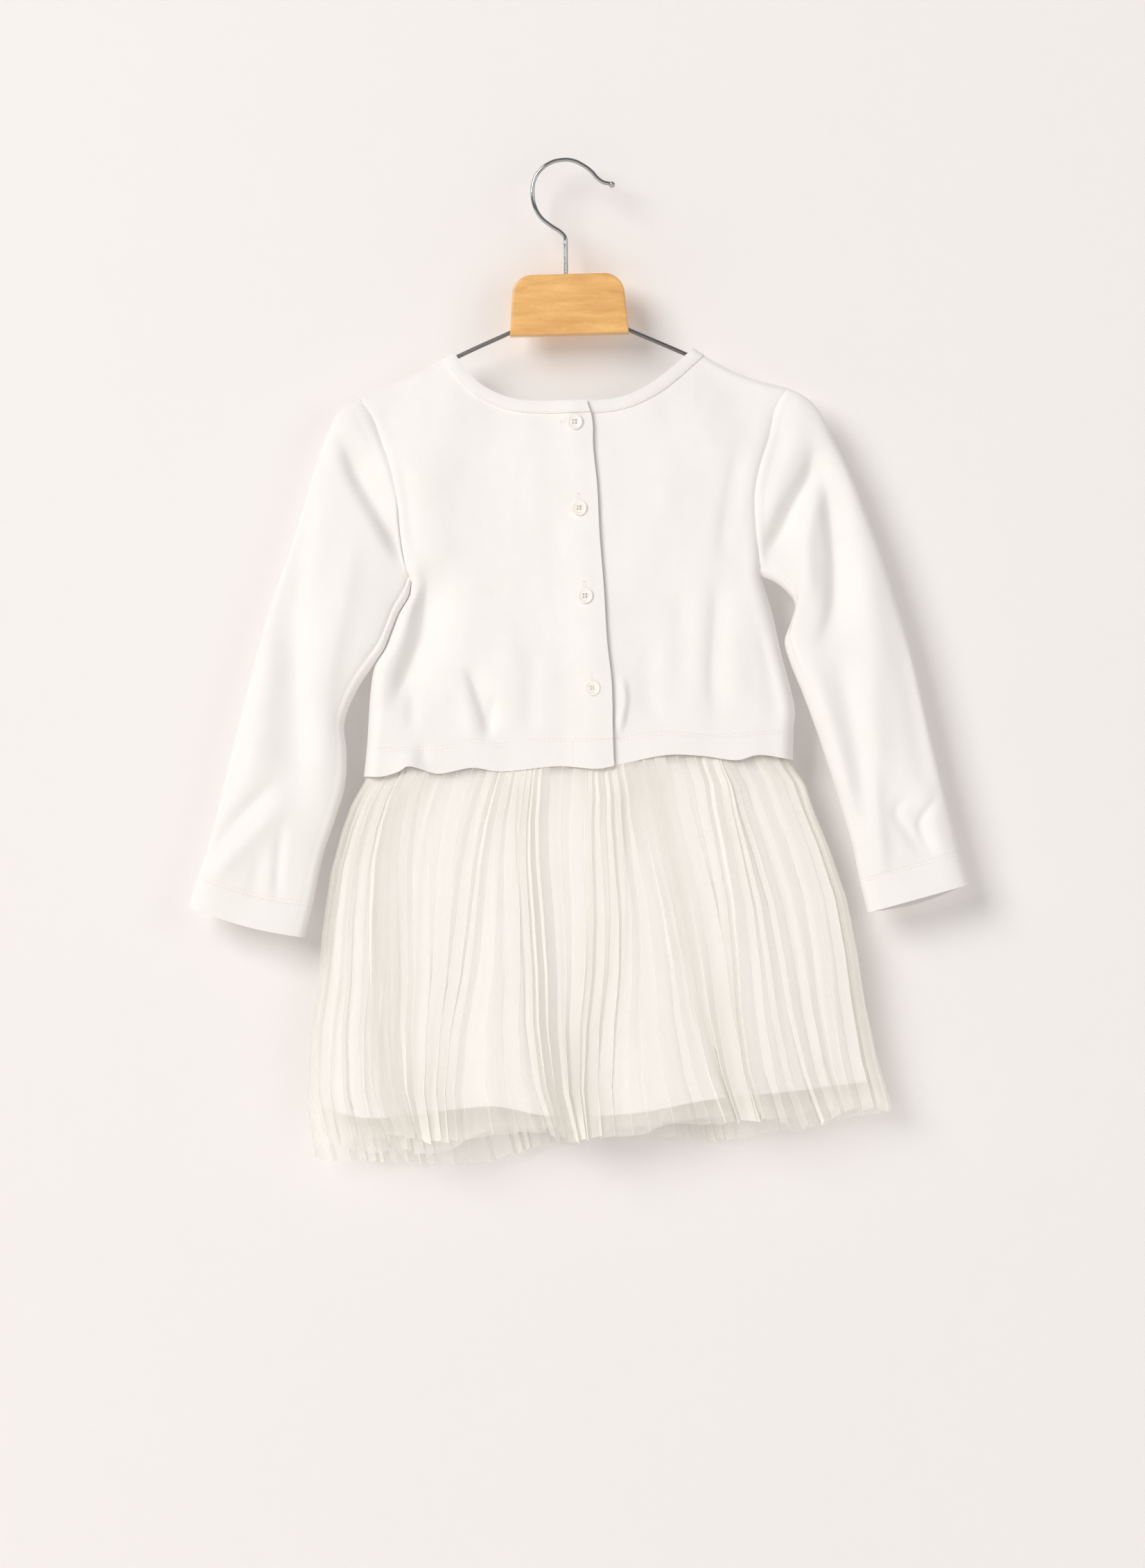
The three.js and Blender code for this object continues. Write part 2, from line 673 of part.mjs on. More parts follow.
function backRight() {
  const neck = neckLine(BACK_RIGHT_NECK, -1).reverse();
  const top = [...neck, ...shoulderRun(RIGHT_SEAM.loop[0].at.x, neck.at(-1).at.x, -1).reverse()];
  const left = backEdge(-UNDERLAP, neck[0].at.z, nearY);
  const right = sideColumn(RIGHT_SIDE, RIGHT_SEAM, 1, -1);
  const bottom = hemLine(left[0].at.x, right[0].at.x);
  const shares = withSpread(top.length, SIDE_SPREAD).map((share) => 1 - share).reverse();
  return panel({ left, right, top, bottom, shares, depthAt: nearY });
}

function front() {
  const neck = neckLine(FRONT_NECK, 1);
  const leftShoulder = shoulderRun(LEFT_SEAM.loop[0].at.x, neck[0].at.x, 1);
  const rightShoulder = shoulderRun(RIGHT_SEAM.loop[0].at.x, neck.at(-1).at.x, 1).reverse();
  const top = [...leftShoulder, ...neck, ...rightShoulder];
  const left = sideColumn(LEFT_SIDE, LEFT_SEAM, -1, 1);
  const right = sideColumn(RIGHT_SIDE, RIGHT_SEAM, 1, 1);
  const bottom = hemLine(left[0].at.x, right[0].at.x);
  const half = (top.length - 1) / 2;
  const shares = top.map((_, i) => {
    const share = i / half;
    return 0.5 * (share < 1 ? share ** SIDE_SPREAD : 2 - (2 - share) ** SIDE_SPREAD);
  });
  return panel({ left, right, top, bottom, shares, depthAt: farY });
}

// ---- neck binding: one strip from the overlap's corner round the front to the button side ----
function neckBinding() {
  const stations = [
    ...[...BACK_LEFT_NECK].reverse().map((station) => ({ ...station, depthAt: overlapY })),
    ...FRONT_NECK.slice(1, -1).map((station) => ({ ...station, depthAt: farY })),
    ...BACK_RIGHT_NECK.map((station) => ({ ...station, depthAt: nearY })),
  ];
  const edges = stations.map((station) => ({
    inner: station.inner,
    outer: station.seam.clone().addScaledVector(station.across, -GAP / 2),
  }));
  const grid = [0, 0.5, 1].map((share) =>
    stations.map((station, i) => {
      const at = edges[i].inner.clone().lerp(edges[i].outer, share);
      if (share === 1) return { at, normal: station.normal.clone() };
      if (station.onRidge) return { at, normal: station.normal.clone() };
      at.y = station.depthAt(at.x, at.z);
      return { at, normal: depthNormal(station.depthAt, at.x, at.z) };
    }),
  );
  return clothWall(grid, BINDING, false);
}

// ---- sleeves ----
// Share of the half depth at a share of the way from a sleeve's outer to its inner edge.
const sleeveRound = (share) => (1 - Math.abs(2 * share - 1) ** 2.5) ** (1 / 2.5);

function sleeve(seam, rings, outwardX) {
  const last = SEAM_STATIONS.length - 1;
  const [top, armpit] = [seam.loop[0].at, seam.loop[last].at];
  const first = seam.loop.map((point) => ({
    at: point.at.clone().addScaledVector(point.across, GAP / 2),
    normal: point.normal.clone(),
  }));
  const shares = seam.loop.map((_, i) => SEAM_STATIONS[i <= last ? i : 2 * last - i]);
  const grid = [first];
  rings.forEach((ring, r) => {
    const outer = flat(ring.outerX, ring.outerZ);
    const inner = flat(ring.innerX, ring.innerZ);
    const across = inner.clone().sub(outer).normalize();
    const down = flat(-across.z * outwardX, across.x * outwardX);
    outer.addScaledVector(across, JERSEY / 2);
    inner.addScaledVector(across, -JERSEY / 2);
    // The curve of the armhole fades out over the first rings.
    const fade = Math.max(0, 1 - (r + 1) * 0.27);
    grid.push(
      seam.loop.map((point, c) => {
        const share = shares[c];
        const near = c > 0 && c < last;
        const far = c > last;
        const at = outer.clone().lerp(inner, share);
        const straight = top.clone().lerp(armpit, share);
        at.addScaledVector(flat(point.at.x - straight.x, point.at.z - straight.z), fade);
        const sag = near ? ring.near : ring.far;
        at.addScaledVector(down, sag * Math.sin(Math.PI * share));
        const depth = ring.depth * sleeveRound(share);
        at.y = near ? -depth * (1 - foldShare(at.x, at.z)) : far ? depth : 0;
        const lift = r >= rings.length - 2 ? BAND_LIFT : 0;
        return { at, lift };
      }),
    );
  });
  addNormals(grid, true, (at) => {
    const ring = rings.reduce((a, b) =>
      Math.abs(a.outerZ + a.innerZ - 2 * at.z) < Math.abs(b.outerZ + b.innerZ - 2 * at.z) ? a : b,
    );
    return flat(at.x - (ring.outerX + ring.innerX) / 2, 0, 8 * at.y);
  });
  return clothWall(grid, JERSEY, true);
}

// ---- skirt: three nested tubes ----
const skirtAt = (column) => reader(SKIRT, "fall", column);
const skirtLeft = skirtAt("left");
const skirtRight = skirtAt("right");
const skirtDepth = skirtAt("depth");
const skirtEnd = skirtAt("end");

// How far the broad folds push the cloth out at a place across the skirt.
function skirtFold(place, side, fall) {
  let push = 0;
  for (const fold of SKIRT_FOLDS)
    push += fold[side] * Math.exp(-(((place - fold.place) / fold.width) ** 2));
  return push * fall ** 1.2;
}

// One tube of the skirt. Its middle lies `inset` inside the outline, more so towards the hem, and its
// ends are `short` further in.
function skirtTube({ pleats, falls, inset, short, wall, reach, hemNear, hemFar }) {
  const round = 2 * (pleats.face + pleats.end);
  const hems = { near: reader(hemNear, "x", "z"), far: reader(hemFar, "x", "z") };
  const loopAt = (fall) => {
    const inside = inset * (1 + 0.6 * fall);
    const end = skirtEnd(fall);
    const middle = (skirtLeft(fall) + skirtRight(fall)) / 2;
    const half = (skirtRight(fall) - skirtLeft(fall)) / 2 - end - short;
    const radius = end - inside;
    const bulge = skirtDepth(fall) - end;
    return Array.from({ length: round }, (_, i) => {
      const far = i >= round / 2;
      const step = i % (round / 2);
      const sign = far ? 1 : -1;
      let x;
      let y;
      let out;
      let place;
      if (step <= pleats.face) {
        place = sign * (1 - (2 * step) / pleats.face);
        x = middle + half * place;
        y = sign * (radius + bulge * (1 - place ** 4));
        out = new THREE.Vector3(0, sign, 0);
      } else {
        const turn = (Math.PI * (step - pleats.face)) / pleats.end;
        place = -sign;
        out = new THREE.Vector3(-sign * Math.sin(turn), sign * Math.cos(turn), 0);
        x = middle + half * place + radius * out.x;
        y = radius * out.y;
      }
      const side = y > 0 ? "far" : "near";
      const pleat = pleats.height * (1 + 0.35 * fall) * (i % 2 ? -1 : 1);
      const push = skirtFold(place, side, fall) * Math.abs(out.y);
      return { at: new THREE.Vector3(x, y, 0).addScaledVector(out, pleat + push), out, side };
    });
  };
  const hemLoop = loopAt(reach);
  const topLoop = loopAt(0);
  const grid = falls.map((fall) =>
    loopAt(fall * reach).map((point, i) => {
      const top = bodiceHem(topLoop[i].at.x) + SKIRT_TUCK;
      point.at.z = lerp(top, hems[hemLoop[i].side](hemLoop[i].at.x), fall);
      return point;
    }),
  );
  const outs = new Map(grid.flat().map((point) => [point.at, point.out]));
  addNormals(grid, true, (at) => outs.get(at));
  return clothWall(grid, wall, true);
}

// ---- buttons and hanger ----
function solidOf(geometry) {
  const bare = new THREE.BufferGeometry();
  bare.setAttribute("position", geometry.getAttribute("position"));
  if (geometry.index) bare.setIndex(geometry.index);
  const merged = mergeVertices(bare, 1e-4);
  const used = [];
  const index = merged.index.array;
  for (let i = 0; i < index.length; i += 3) {
    const [a, b, c] = index.subarray(i, i + 3);
    if (a !== b && b !== c && a !== c) used.push(a, b, c);
  }
  const closed = facingOut([...merged.attributes.position.array], used);
  return new wasm.Manifold(
    new wasm.Mesh({
      numProp: 3,
      vertProperties: closed.attributes.position.array,
      triVerts: new Uint32Array(closed.index.array),
    }),
  );
}

function geometryOf(solid) {
  const { vertProperties, triVerts } = solid.getMesh();
  const geometry = new THREE.BufferGeometry();
  geometry.setAttribute("position", new THREE.BufferAttribute(vertProperties, 3));
  return geometry.setIndex(new THREE.BufferAttribute(triVerts, 1));
}

// A round wire or bore along a line of points.
function wireAlong(points, radius, steps, sides = 8) {
  const path = new THREE.CatmullRomCurve3(points, false, "centripetal");
  const round = new THREE.Shape().absarc(0, 0, radius, 0, 2 * Math.PI);
  // A full circle gets two sides for each curve segment.
  const options = { steps, extrudePath: path, curveSegments: sides / 2, bevelEnabled: false };
  return new THREE.ExtrudeGeometry(round, options);
}

// A four-hole button with a raised rim, its back on y = 0 and its face towards -Y.
function button() {
  const { radius, thickness, dish, hole, pitch } = BUTTON;
  const profile = [
    [0, 0],
    [radius - 0.8, 0],
    [radius, -0.7],
    [radius, -thickness + 0.6],
    [radius - 0.6, -thickness],
    [radius - 1.3, -thickness],
    [radius - 2.1, dish - thickness],
    [0, dish - thickness],
  ].map(([x, y]) => new THREE.Vector2(x, y));
  let disc = solidOf(new THREE.LatheGeometry(profile, 16));
  for (const [x, z] of [[1, 1], [1, -1], [-1, -1], [-1, 1]]) {
    const bore = new THREE.CylinderGeometry(hole, hole, 3 * thickness, 6);
    disc = disc.subtract(solidOf(bore.translate((x * pitch) / 2, 0, (z * pitch) / 2)));
  }
  return geometryOf(disc);
}

// The wire of an arm or the hook, with its straight end in the block.
function intoBlock(table) {
  const points = table.map((row) => flat(row.x, row.z));
  const inward = points[0].clone().sub(points[1]).normalize();
  return { points: [points[0].clone().addScaledVector(inward, SOCKET), ...points], inward };
}
const ARMS = { left: intoBlock(LEFT_ARM), right: intoBlock(RIGHT_ARM) };
const HOOK = intoBlock(HOOK_WIRE);

function hangerBlock() {
  const [bottom, top] = [BLOCK.bottom / 2, BLOCK.top / 2];
  const outline = new THREE.Shape();
  const side = new THREE.Vector2(top - bottom, BLOCK.height).normalize().multiplyScalar(BLOCK.corner);
  outline.moveTo(-bottom, 0);
  outline.lineTo(bottom, 0);
  outline.lineTo(top - side.x, BLOCK.height - side.y);
  outline.quadraticCurveTo(top, BLOCK.height, top - BLOCK.corner, BLOCK.height);
  outline.lineTo(BLOCK.corner - top, BLOCK.height);
  outline.quadraticCurveTo(-top, BLOCK.height, side.x - top, BLOCK.height - side.y);
  const edge = 1;
  const wood = new THREE.ExtrudeGeometry(outline, {
    depth: BLOCK.depth - 2 * edge,
    bevelThickness: edge,
    bevelSize: edge,
    bevelOffset: -edge,
    bevelSegments: 2,
    curveSegments: 7,
  });
  wood.translate(0, 0, edge - BLOCK.depth / 2).rotateX(Math.PI / 2);
  wood.rotateY(-THREE.MathUtils.degToRad(BLOCK.tilt)).translate(BLOCK.x, 0, BLOCK.z);
  let block = solidOf(wood);
  for (const { points, inward } of [ARMS.left, ARMS.right, HOOK]) {
    const deep = points[0].clone().addScaledVector(inward, GAP);
    const out = points[1].clone().addScaledVector(inward, -6);
    block = block.subtract(solidOf(wireAlong([deep, out], WIRE + GAP, 1)));
  }
  return geometryOf(block);
}

function hangerHook() {
  const wire = solidOf(wireAlong(HOOK.points, WIRE, 36, 10));
  const tip = HOOK.points.at(-1);
  const ball = new THREE.SphereGeometry(HOOK_BALL, 10, 8).translate(tip.x, tip.y, tip.z);
  return geometryOf(wire.add(solidOf(ball)));
}

// ---- the dress and its hanger ----
const cloth = (color) => new THREE.MeshStandardMaterial({ color, roughness: 0.9, metalness: 0 });
const wood = () => new THREE.MeshStandardMaterial({ color: 0xe0a763, roughness: 0.45, metalness: 0 });
const pearl = () => new THREE.MeshStandardMaterial({ color: 0xf6f2ea, roughness: 0.25, metalness: 0 });
const metal = (color, roughness) => new THREE.MeshStandardMaterial({ color, roughness, metalness: 1 });

const dress = new THREE.Group();
function add(parent, name, geometry, material) {
  const mesh = new THREE.Mesh(geometry, material);
  mesh.name = name;
  parent.add(mesh);
  return mesh;
}

const bodice = new THREE.Group();
add(bodice, "front_bodice", front(), cloth(0xf3ece0));
add(bodice, "back_left", backLeft(), cloth(0xf3ece0));
add(bodice, "back_right", backRight(), cloth(0xf3ece0));
add(bodice, "neck_binding", neckBinding(), cloth(0xf5eee3));
add(bodice, "sleeve_left", sleeve(LEFT_SEAM, LEFT_RINGS, -1), cloth(0xf3ece0));
add(bodice, "sleeve_right", sleeve(RIGHT_SEAM, RIGHT_RINGS, 1), cloth(0xf3ece0));
dress.add(bodice);

const skirt = new THREE.Group();
const outerTulle = {
  pleats: OUTER_PLEATS,
  falls: OUTER_FALLS,
  inset: TULLE / 2 + OUTER_PLEATS.height,
  short: 0,
  wall: TULLE,
  reach: 1,
  hemNear: OUTER_HEM_NEAR,
  hemFar: OUTER_HEM_FAR,
};
const innerTulle = {
  pleats: INNER_PLEATS,
  falls: INNER_FALLS,
  inset: 2 * outerTulle.inset + LAYER_GAP + TULLE / 2 + INNER_PLEATS.height,
  short: 2,
  wall: TULLE,
  reach: 0.99,
  hemNear: INNER_HEM,
  hemFar: INNER_HEM,
};
const lining = {
  pleats: LINING_PANELS,
  falls: INNER_FALLS,
  inset: innerTulle.inset + TULLE / 2 + INNER_PLEATS.height + LAYER_GAP + LINING / 2,
  short: 4,
  wall: LINING,
  reach: 0.93,
  hemNear: LINING_HEM,
  hemFar: LINING_HEM,
};
add(skirt, "skirt_tulle_outer", skirtTube(outerTulle), cloth(0xf1e8db));
add(skirt, "skirt_tulle_inner", skirtTube(innerTulle), cloth(0xf1e8db));
add(skirt, "skirt_lining", skirtTube(lining), cloth(0xf6f1e9));
dress.add(skirt);

BUTTONS.forEach(({ x, z }, i) => {
  const mesh = add(dress, `button_${i + 1}`, button(), pearl());
  const reach = 0.8 * BUTTON.radius;
  const under = [[-reach, -reach], [reach, -reach], [-reach, reach], [reach, reach]];
  const proud = Math.min(...under.map(([dx, dz]) => overlapY(x + dx, z + dz)));
  mesh.position.set(x, proud - JERSEY / 2 - GAP, z);
});

const hanger = new THREE.Group();
add(hanger, "hanger_block", hangerBlock(), wood());
add(hanger, "hanger_arm_left", wireAlong(ARMS.left.points, WIRE, 14), metal(0x8d8a86, 0.4));
add(hanger, "hanger_arm_right", wireAlong(ARMS.right.points, WIRE, 14), metal(0x8d8a86, 0.4));
add(hanger, "hanger_hook", hangerHook(), metal(0xd6d8da, 0.15));
dress.add(hanger);

export default dress;
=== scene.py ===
# A child's long-sleeved jersey dress with a pleated tulle skirt, hanging from a small wood and wire
# hanger. It is seen from its buttoned back, which faces -Y; all sizes are in metres.
import math

import bpy
import numpy as np
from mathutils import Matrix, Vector, noise


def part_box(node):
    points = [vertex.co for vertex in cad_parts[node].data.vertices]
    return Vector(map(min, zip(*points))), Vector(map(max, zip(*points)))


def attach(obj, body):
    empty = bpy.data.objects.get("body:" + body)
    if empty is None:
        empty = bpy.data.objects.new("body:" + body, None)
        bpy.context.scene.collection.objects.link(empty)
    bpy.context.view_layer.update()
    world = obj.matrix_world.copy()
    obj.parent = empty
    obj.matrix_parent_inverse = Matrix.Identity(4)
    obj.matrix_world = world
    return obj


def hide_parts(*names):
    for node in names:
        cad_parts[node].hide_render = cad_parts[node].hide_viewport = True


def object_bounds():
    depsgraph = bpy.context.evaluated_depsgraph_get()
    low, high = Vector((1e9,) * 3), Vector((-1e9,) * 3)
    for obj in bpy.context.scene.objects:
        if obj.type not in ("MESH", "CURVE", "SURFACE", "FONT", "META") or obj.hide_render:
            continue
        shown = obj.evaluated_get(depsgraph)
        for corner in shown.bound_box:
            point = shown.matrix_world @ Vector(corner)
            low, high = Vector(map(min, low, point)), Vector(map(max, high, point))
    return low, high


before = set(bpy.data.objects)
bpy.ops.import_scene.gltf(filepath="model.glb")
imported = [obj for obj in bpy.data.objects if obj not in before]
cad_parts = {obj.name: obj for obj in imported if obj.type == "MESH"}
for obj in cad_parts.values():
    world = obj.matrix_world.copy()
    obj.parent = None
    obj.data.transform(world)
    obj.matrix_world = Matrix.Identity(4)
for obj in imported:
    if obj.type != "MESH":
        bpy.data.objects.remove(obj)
cad_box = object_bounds()
bpy.ops.object.select_all(action="DESELECT")

# ---- Camera ----
# The dress is seen straight on from three metres away, at the height of its bodice hem.
camera_lens = bpy.data.cameras.new("camera")
camera_lens.lens = 97.4
camera = bpy.data.objects.new("camera", camera_lens)
camera.location = (0.0044, -3.0, -0.4398)
camera.rotation_euler = (math.pi / 2, 0, 0)
bpy.context.collection.objects.link(camera)
bpy.context.scene.camera = camera

# ---- Back of the bodice, buttonhole side ----
# The left half of the back is cut from ivory cotton jersey. Its hem is turned up and stitched with
# a twin needle, and its free edge lies over the other half and carries the buttonholes.
mm = 0.001


def ramp(value, start, end):
    """Rises smoothly from 0 at start to 1 at end."""
    share = np.clip((value - start) / (end - start), 0, 1)
    return share * share * (3 - 2 * share)


def quarter(share):
    """Rises from 0 to 1 like a quarter of a circle."""
    return np.sqrt(1 - (1 - np.clip(share, 0, 1)) ** 2)


def smooth_rows(rows, knots, at):
    """A smooth curve through the rows, which lie at the knots, read at other places."""
    slope = np.gradient(rows, knots, axis=0)
    i = np.clip(np.searchsorted(knots, at, "right") - 1, 0, len(knots) - 2)
    shape = (-1,) + (1,) * (rows.ndim - 1)
    length = (knots[i + 1] - knots[i]).reshape(shape)
    t = ((at - knots[i]) / (knots[i + 1] - knots[i])).reshape(shape)
    ends = (1 + 2 * t) * (1 - t) ** 2 * rows[i] + t * t * (3 - 2 * t) * rows[i + 1]
    return ends + length * (t * (1 - t) ** 2 * slope[i] + t * t * (t - 1) * slope[i + 1])


def hump(value, centre, width):
    """Rises from 0 to 1 at the centre and falls again, like a soft crease."""
    return np.exp(-(((value - centre) / width) ** 2))


def unit(vectors):
    """Rows of vectors brought to length one."""
    return vectors / np.linalg.norm(vectors, axis=1)[:, None]


def run_along(line, power=1):
    """Distance run at each point of a line."""
    return np.r_[0, np.cumsum(np.linalg.norm(np.diff(line, axis=0), axis=1) ** power)]


def along(line, count):
    """Evenly spaced places on a line of points."""
    run = run_along(line)
    even = np.linspace(0, run[-1], count)
    return np.column_stack([np.interp(even, run, line[:, k]) for k in range(line.shape[1])])


def line_through(rows, count=240):
    """Evenly spaced points (x, z) along a smooth line through rows given in millimetres."""
    rows = np.array(rows, float) * mm
    knots = run_along(rows, 0.5)
    return along(smooth_rows(rows, knots, np.linspace(0, knots[-1], 8 * count)), count)


# Shoulder line from shoulder point to shoulder point, straight over the neck opening: x, z.
shoulders = np.array([
    [-146.2, -168], [-130, -161], [-111.7, -152.7], [-95, -144.2], [-79.4, -135.2],
    [0, -133.6], [89.7, -132.1], [103, -140.6], [116, -147.5], [131, -153.6],
    [145, -157.4], [156.2, -160],
]) * mm
# Armhole seams from the shoulder point to the armpit, and side seams from there to the hem: x, z.
left_armhole = line_through([
    [-146.2, -168], [-138, -180], [-129, -201], [-123, -219.5], [-118.8, -242],
    [-116.6, -265], [-113.7, -283], [-109.5, -298],
])
left_side = line_through([
    [-109.5, -298], [-110.6, -307], [-117.6, -319], [-122.6, -332], [-127.4, -344],
    [-134.6, -356], [-137.6, -372], [-140.4, -414], [-142.6, -434.6],
])
right_armhole = line_through([
    [156.2, -160], [147.3, -175], [142, -196.8], [136, -217.6], [132.8, -236],
    [133.8, -260.7], [136, -283.5], [137, -292.7],
])
right_side = line_through([
    [137, -292.7], [145.3, -320.5], [151.4, -347.4], [158.8, -375.3], [161.2, -388],
    [160.2, -400.6], [159.7, -422.9],
])
bodice_hem = line_through([
    [-142.6, -434.6], [-130, -434.6], [-117.7, -431], [-111.7, -427.4], [-103.4, -429],
    [-91, -432.6], [-66, -428.5], [-47.5, -431], [-4.4, -427.3], [22.5, -429],
    [40.7, -425.3], [71, -419.4], [95, -420], [120.5, -423], [135, -419.4],
    [159.7, -422.9],
])
hem_seam = line_through([
    [-142, -414.8], [-111.7, -414], [-84.8, -412.6], [-61, -408.4], [-47.5, -411.3],
    [-29, -408.4], [4, -407.7], [34.8, -407.7], [56.6, -403.8], [75, -403],
    [95.8, -404.7], [126.8, -403.8], [161, -400.8],
])
overlap_edge = line_through([
    [13, -165], [14.2, -170], [17.1, -177.5], [18.6, -186], [18.8, -201],
    [21.6, -227.9], [23.5, -264.9], [26.5, -301.8], [28.7, -339.1], [31.9, -368],
    [32.8, -406.7], [33.8, -432],
])


def x_at(z, *lines):
    """How far across a line that runs downwards is, at each height."""
    line = np.vstack(lines)
    return np.interp(-z, -line[:, 1], line[:, 0])


def z_at(x, line):
    """How high a line that runs from left to right is, at each place across."""
    return np.interp(x, line[:, 0], line[:, 1])


chest_depth, waist_depth = 10.0 * mm, 13.2 * mm
shoulder_fold, half_cloth = 3 * mm, 0.4 * mm
needle_gap = 2.3 * mm  # between the two rows of a twin needle


def side_share(inside, at_seam):
    """Share of the depth left beside a side edge, where the cloth rounds over."""
    return np.sqrt(at_seam**2 + (1 - at_seam**2) * quarter(inside / 0.010) ** 2)


def seam_share(z, armhole):
    """Share of the depth left at an armhole seam: none at the armpit, all at the shoulder."""
    up = (z - armhole[-1, 1]) / (armhole[0, 1] - armhole[-1, 1])
    return np.where(up > 0, 0.8 * quarter(up / 0.25) + 0.2 * ramp(up, 0.7, 1), 0)


def bodice_depth(x, z):
    """How far the hanging bodice stands from its middle plane on either side."""
    below = np.maximum(0, (np.interp(x, shoulders[:, 0], shoulders[:, 1]) - z) * 0.9)
    full = chest_depth + (waist_depth - chest_depth) * ramp(-0.3 - z, 0, 0.11)
    fold = shoulder_fold * quarter(below / shoulder_fold)
    depth = fold + (full - shoulder_fold) * ramp(below, 0, 0.06)
    left = side_share(x - x_at(z, left_armhole, left_side[1:]), seam_share(z, left_armhole))
    right = side_share(x_at(z, right_armhole, right_side[1:]) - x, seam_share(z, right_armhole))
    return depth * left * right


def creases(x, z, rows):
    """Height of soft creases, each with width, height and skew, then the places it runs through."""
    height, steps = np.zeros_like(x), 60
    for width, rise, skew, *places in rows:
        path = line_through(places, steps)
        tangent = unit(np.gradient(path, axis=0))
        away = (x[..., None] - path[:, 0]) ** 2 + (z[..., None] - path[:, 1]) ** 2
        nearest = away.argmin(axis=-1)
        along_x, along_z = tangent[nearest, 0], tangent[nearest, 1]
        from_x, from_z = x - path[nearest, 0], z - path[nearest, 1]
        step = np.linalg.norm(path[1] - path[0])
        run = (nearest + (from_x * along_x + from_z * along_z) / step) / (steps - 1)
        off = (from_x * along_z - from_z * along_x) / (width * mm)
        off = np.where(off > 0, off / (1 - skew), off / (1 + skew))
        height += rise * mm * np.exp(-off * off) * ramp(run, -0.02, 0.3) * ramp(run, 1.02, 0.7)
    return height


def unevenness(x, z, size, seed):
    """Soft irregular waves about `size` across, from -1 to 1."""
    places = np.column_stack([x.ravel(), z.ravel()]) / size
    values = [noise.noise(Vector((px, seed, pz))) for px, pz in places]
    return 2 * np.reshape(values, x.shape)


bodice_creases = [
    # width, rise towards the viewer, skew, then places x and z (all but the skew in millimetres)
    (13, -10.5, 0.4, (-111, -286), (-101, -308), (-103, -335), (-112, -362), (-122, -392)),
    (6, -1.8, 0, (-124, -205), (-116, -235), (-112, -262), (-108, -292)),
    (13, 1.8, 0, (-103, -200), (-98, -240), (-92, -275), (-86, -305)),
    (6.5, -3.4, 0.45, (-71, -354), (-62, -378), (-57, -394), (-56, -410)),
    (3.5, -2, -0.2, (-49, -376), (-52, -392), (-54, -408)),
    (6, 1.5, 0, (-74, -372), (-68, -392), (-66, -412)),
    (5, -1.4, 0, (-108, -374), (-109, -404)),
    (9, 0.7, 0, (-40, -325), (-41, -370), (-42, -415)),
    (7, -1.3, 0, (-22, -340), (-25, -375), (-25, -412)),
    (7, -1.9, 0.3, (107, -290), (105, -330), (103, -360), (105, -398)),
    (9, 1.2, 0, (120, -295), (119, -340), (122, -392)),
    (9, -1.3, 0, (80, -292), (82, -340), (80, -390)),
    (8, 0.7, 0, (92, -292), (93, -340), (90, -395)),
    (7, -1.5, 0.2, (124, -192), (118, -222), (112, -255), (109, -292)),
    (9, -1.4, 0, (60, -325), (58, -365), (60, -405)),
    (6, -1.2, 0, (136, -322), (143, -360), (149, -400)),
    (3, 2.8, -0.2, (39, -362), (41, -380), (38.5, -396), (37, -406)),
    (16, -1.2, 0, (-60, -190), (-72, -240), (-62, -300)),
    (18, 1.2, 0, (40, -195), (62, -240), (58, -300)),
]


def back_relief(x, z):
    """How far the back of the bodice stands out from its even shape."""
    height = creases(x, z, bodice_creases)
    height += 0.9 * mm * unevenness(x, 0.6 * z, 0.034, 3)
    height += 0.12 * mm * unevenness(x, z, 0.011, 8)
    seam = z - z_at(x, hem_seam)
    for row in (0, -needle_gap):
        height -= 0.28 * mm * hump(seam, row, 0.9 * mm)
    hem = ramp(seam, 0, -3 * mm) * 0.5 * mm
    # The hem puckers in one place near its left end.
    pucker = 3.2 * mm * np.exp(-(((x + 0.1105) / 0.008) ** 2) - ((z + 0.4265) / 0.009) ** 2)
    dip = -1.6 * mm * np.exp(-(((x + 0.101) / 0.005) ** 2) - ((z + 0.419) / 0.007) ** 2)
    return height + hem + pucker + dip


def near_y(x, z):
    """Middle of the cloth on the buttoned side."""
    left = x - x_at(z, left_armhole, left_side[1:])
    right = x_at(z, right_armhole, right_side[1:]) - x
    inside = np.maximum(np.minimum(left, right), 0)
    even = ramp(inside, 0, 0.012)
    turned_in = 0.7 * mm * hump(inside, 0, 1.3 * mm) * (z > -0.3)
    return -half_cloth - bodice_depth(x, z) - back_relief(x, z) * even + turned_in


def far_y(x, z):
    """Middle of the cloth on the plain front."""
    return half_cloth + bodice_depth(x, z) + 0.3 * mm * unevenness(x, 0.6 * z, 0.034, 21)


def overlap_y(x, z):
    """The buttonhole side is lifted over the button side near its free edge."""
    return near_y(x, z) - 3.2 * mm * ramp(x - x_at(z, overlap_edge), -0.036, -0.008)


def spread(left, right, bottom, top):
    """Places (x, z) spread between the four edges of a panel, first row at its bottom edge."""
    v = np.linspace(0, 1, len(left))[:, None, None]
    u = np.linspace(0, 1, len(bottom))[None, :, None]
    corners = (1 - u) * (1 - v) * bottom[0] + u * (1 - v) * bottom[-1]
    corners = corners + (1 - u) * v * top[0] + u * v * top[-1]
    sides = left[:, None] * (1 - u) + right[:, None] * u
    return sides + bottom[None] * (1 - v) + top[None] * v - corners


def edge_rows(line, low, high, count):
    """Places on a line that runs downwards, evenly spaced in height between two heights."""
    z = np.linspace(low, high, count)
    return np.column_stack([x_at(z, line), z])


def level_row(left, right, line, count):
    """Places on a line from left to right, evenly spaced across."""
    x = np.linspace(left[0], right[0], count)
    return np.column_stack([x, z_at(x, line)])


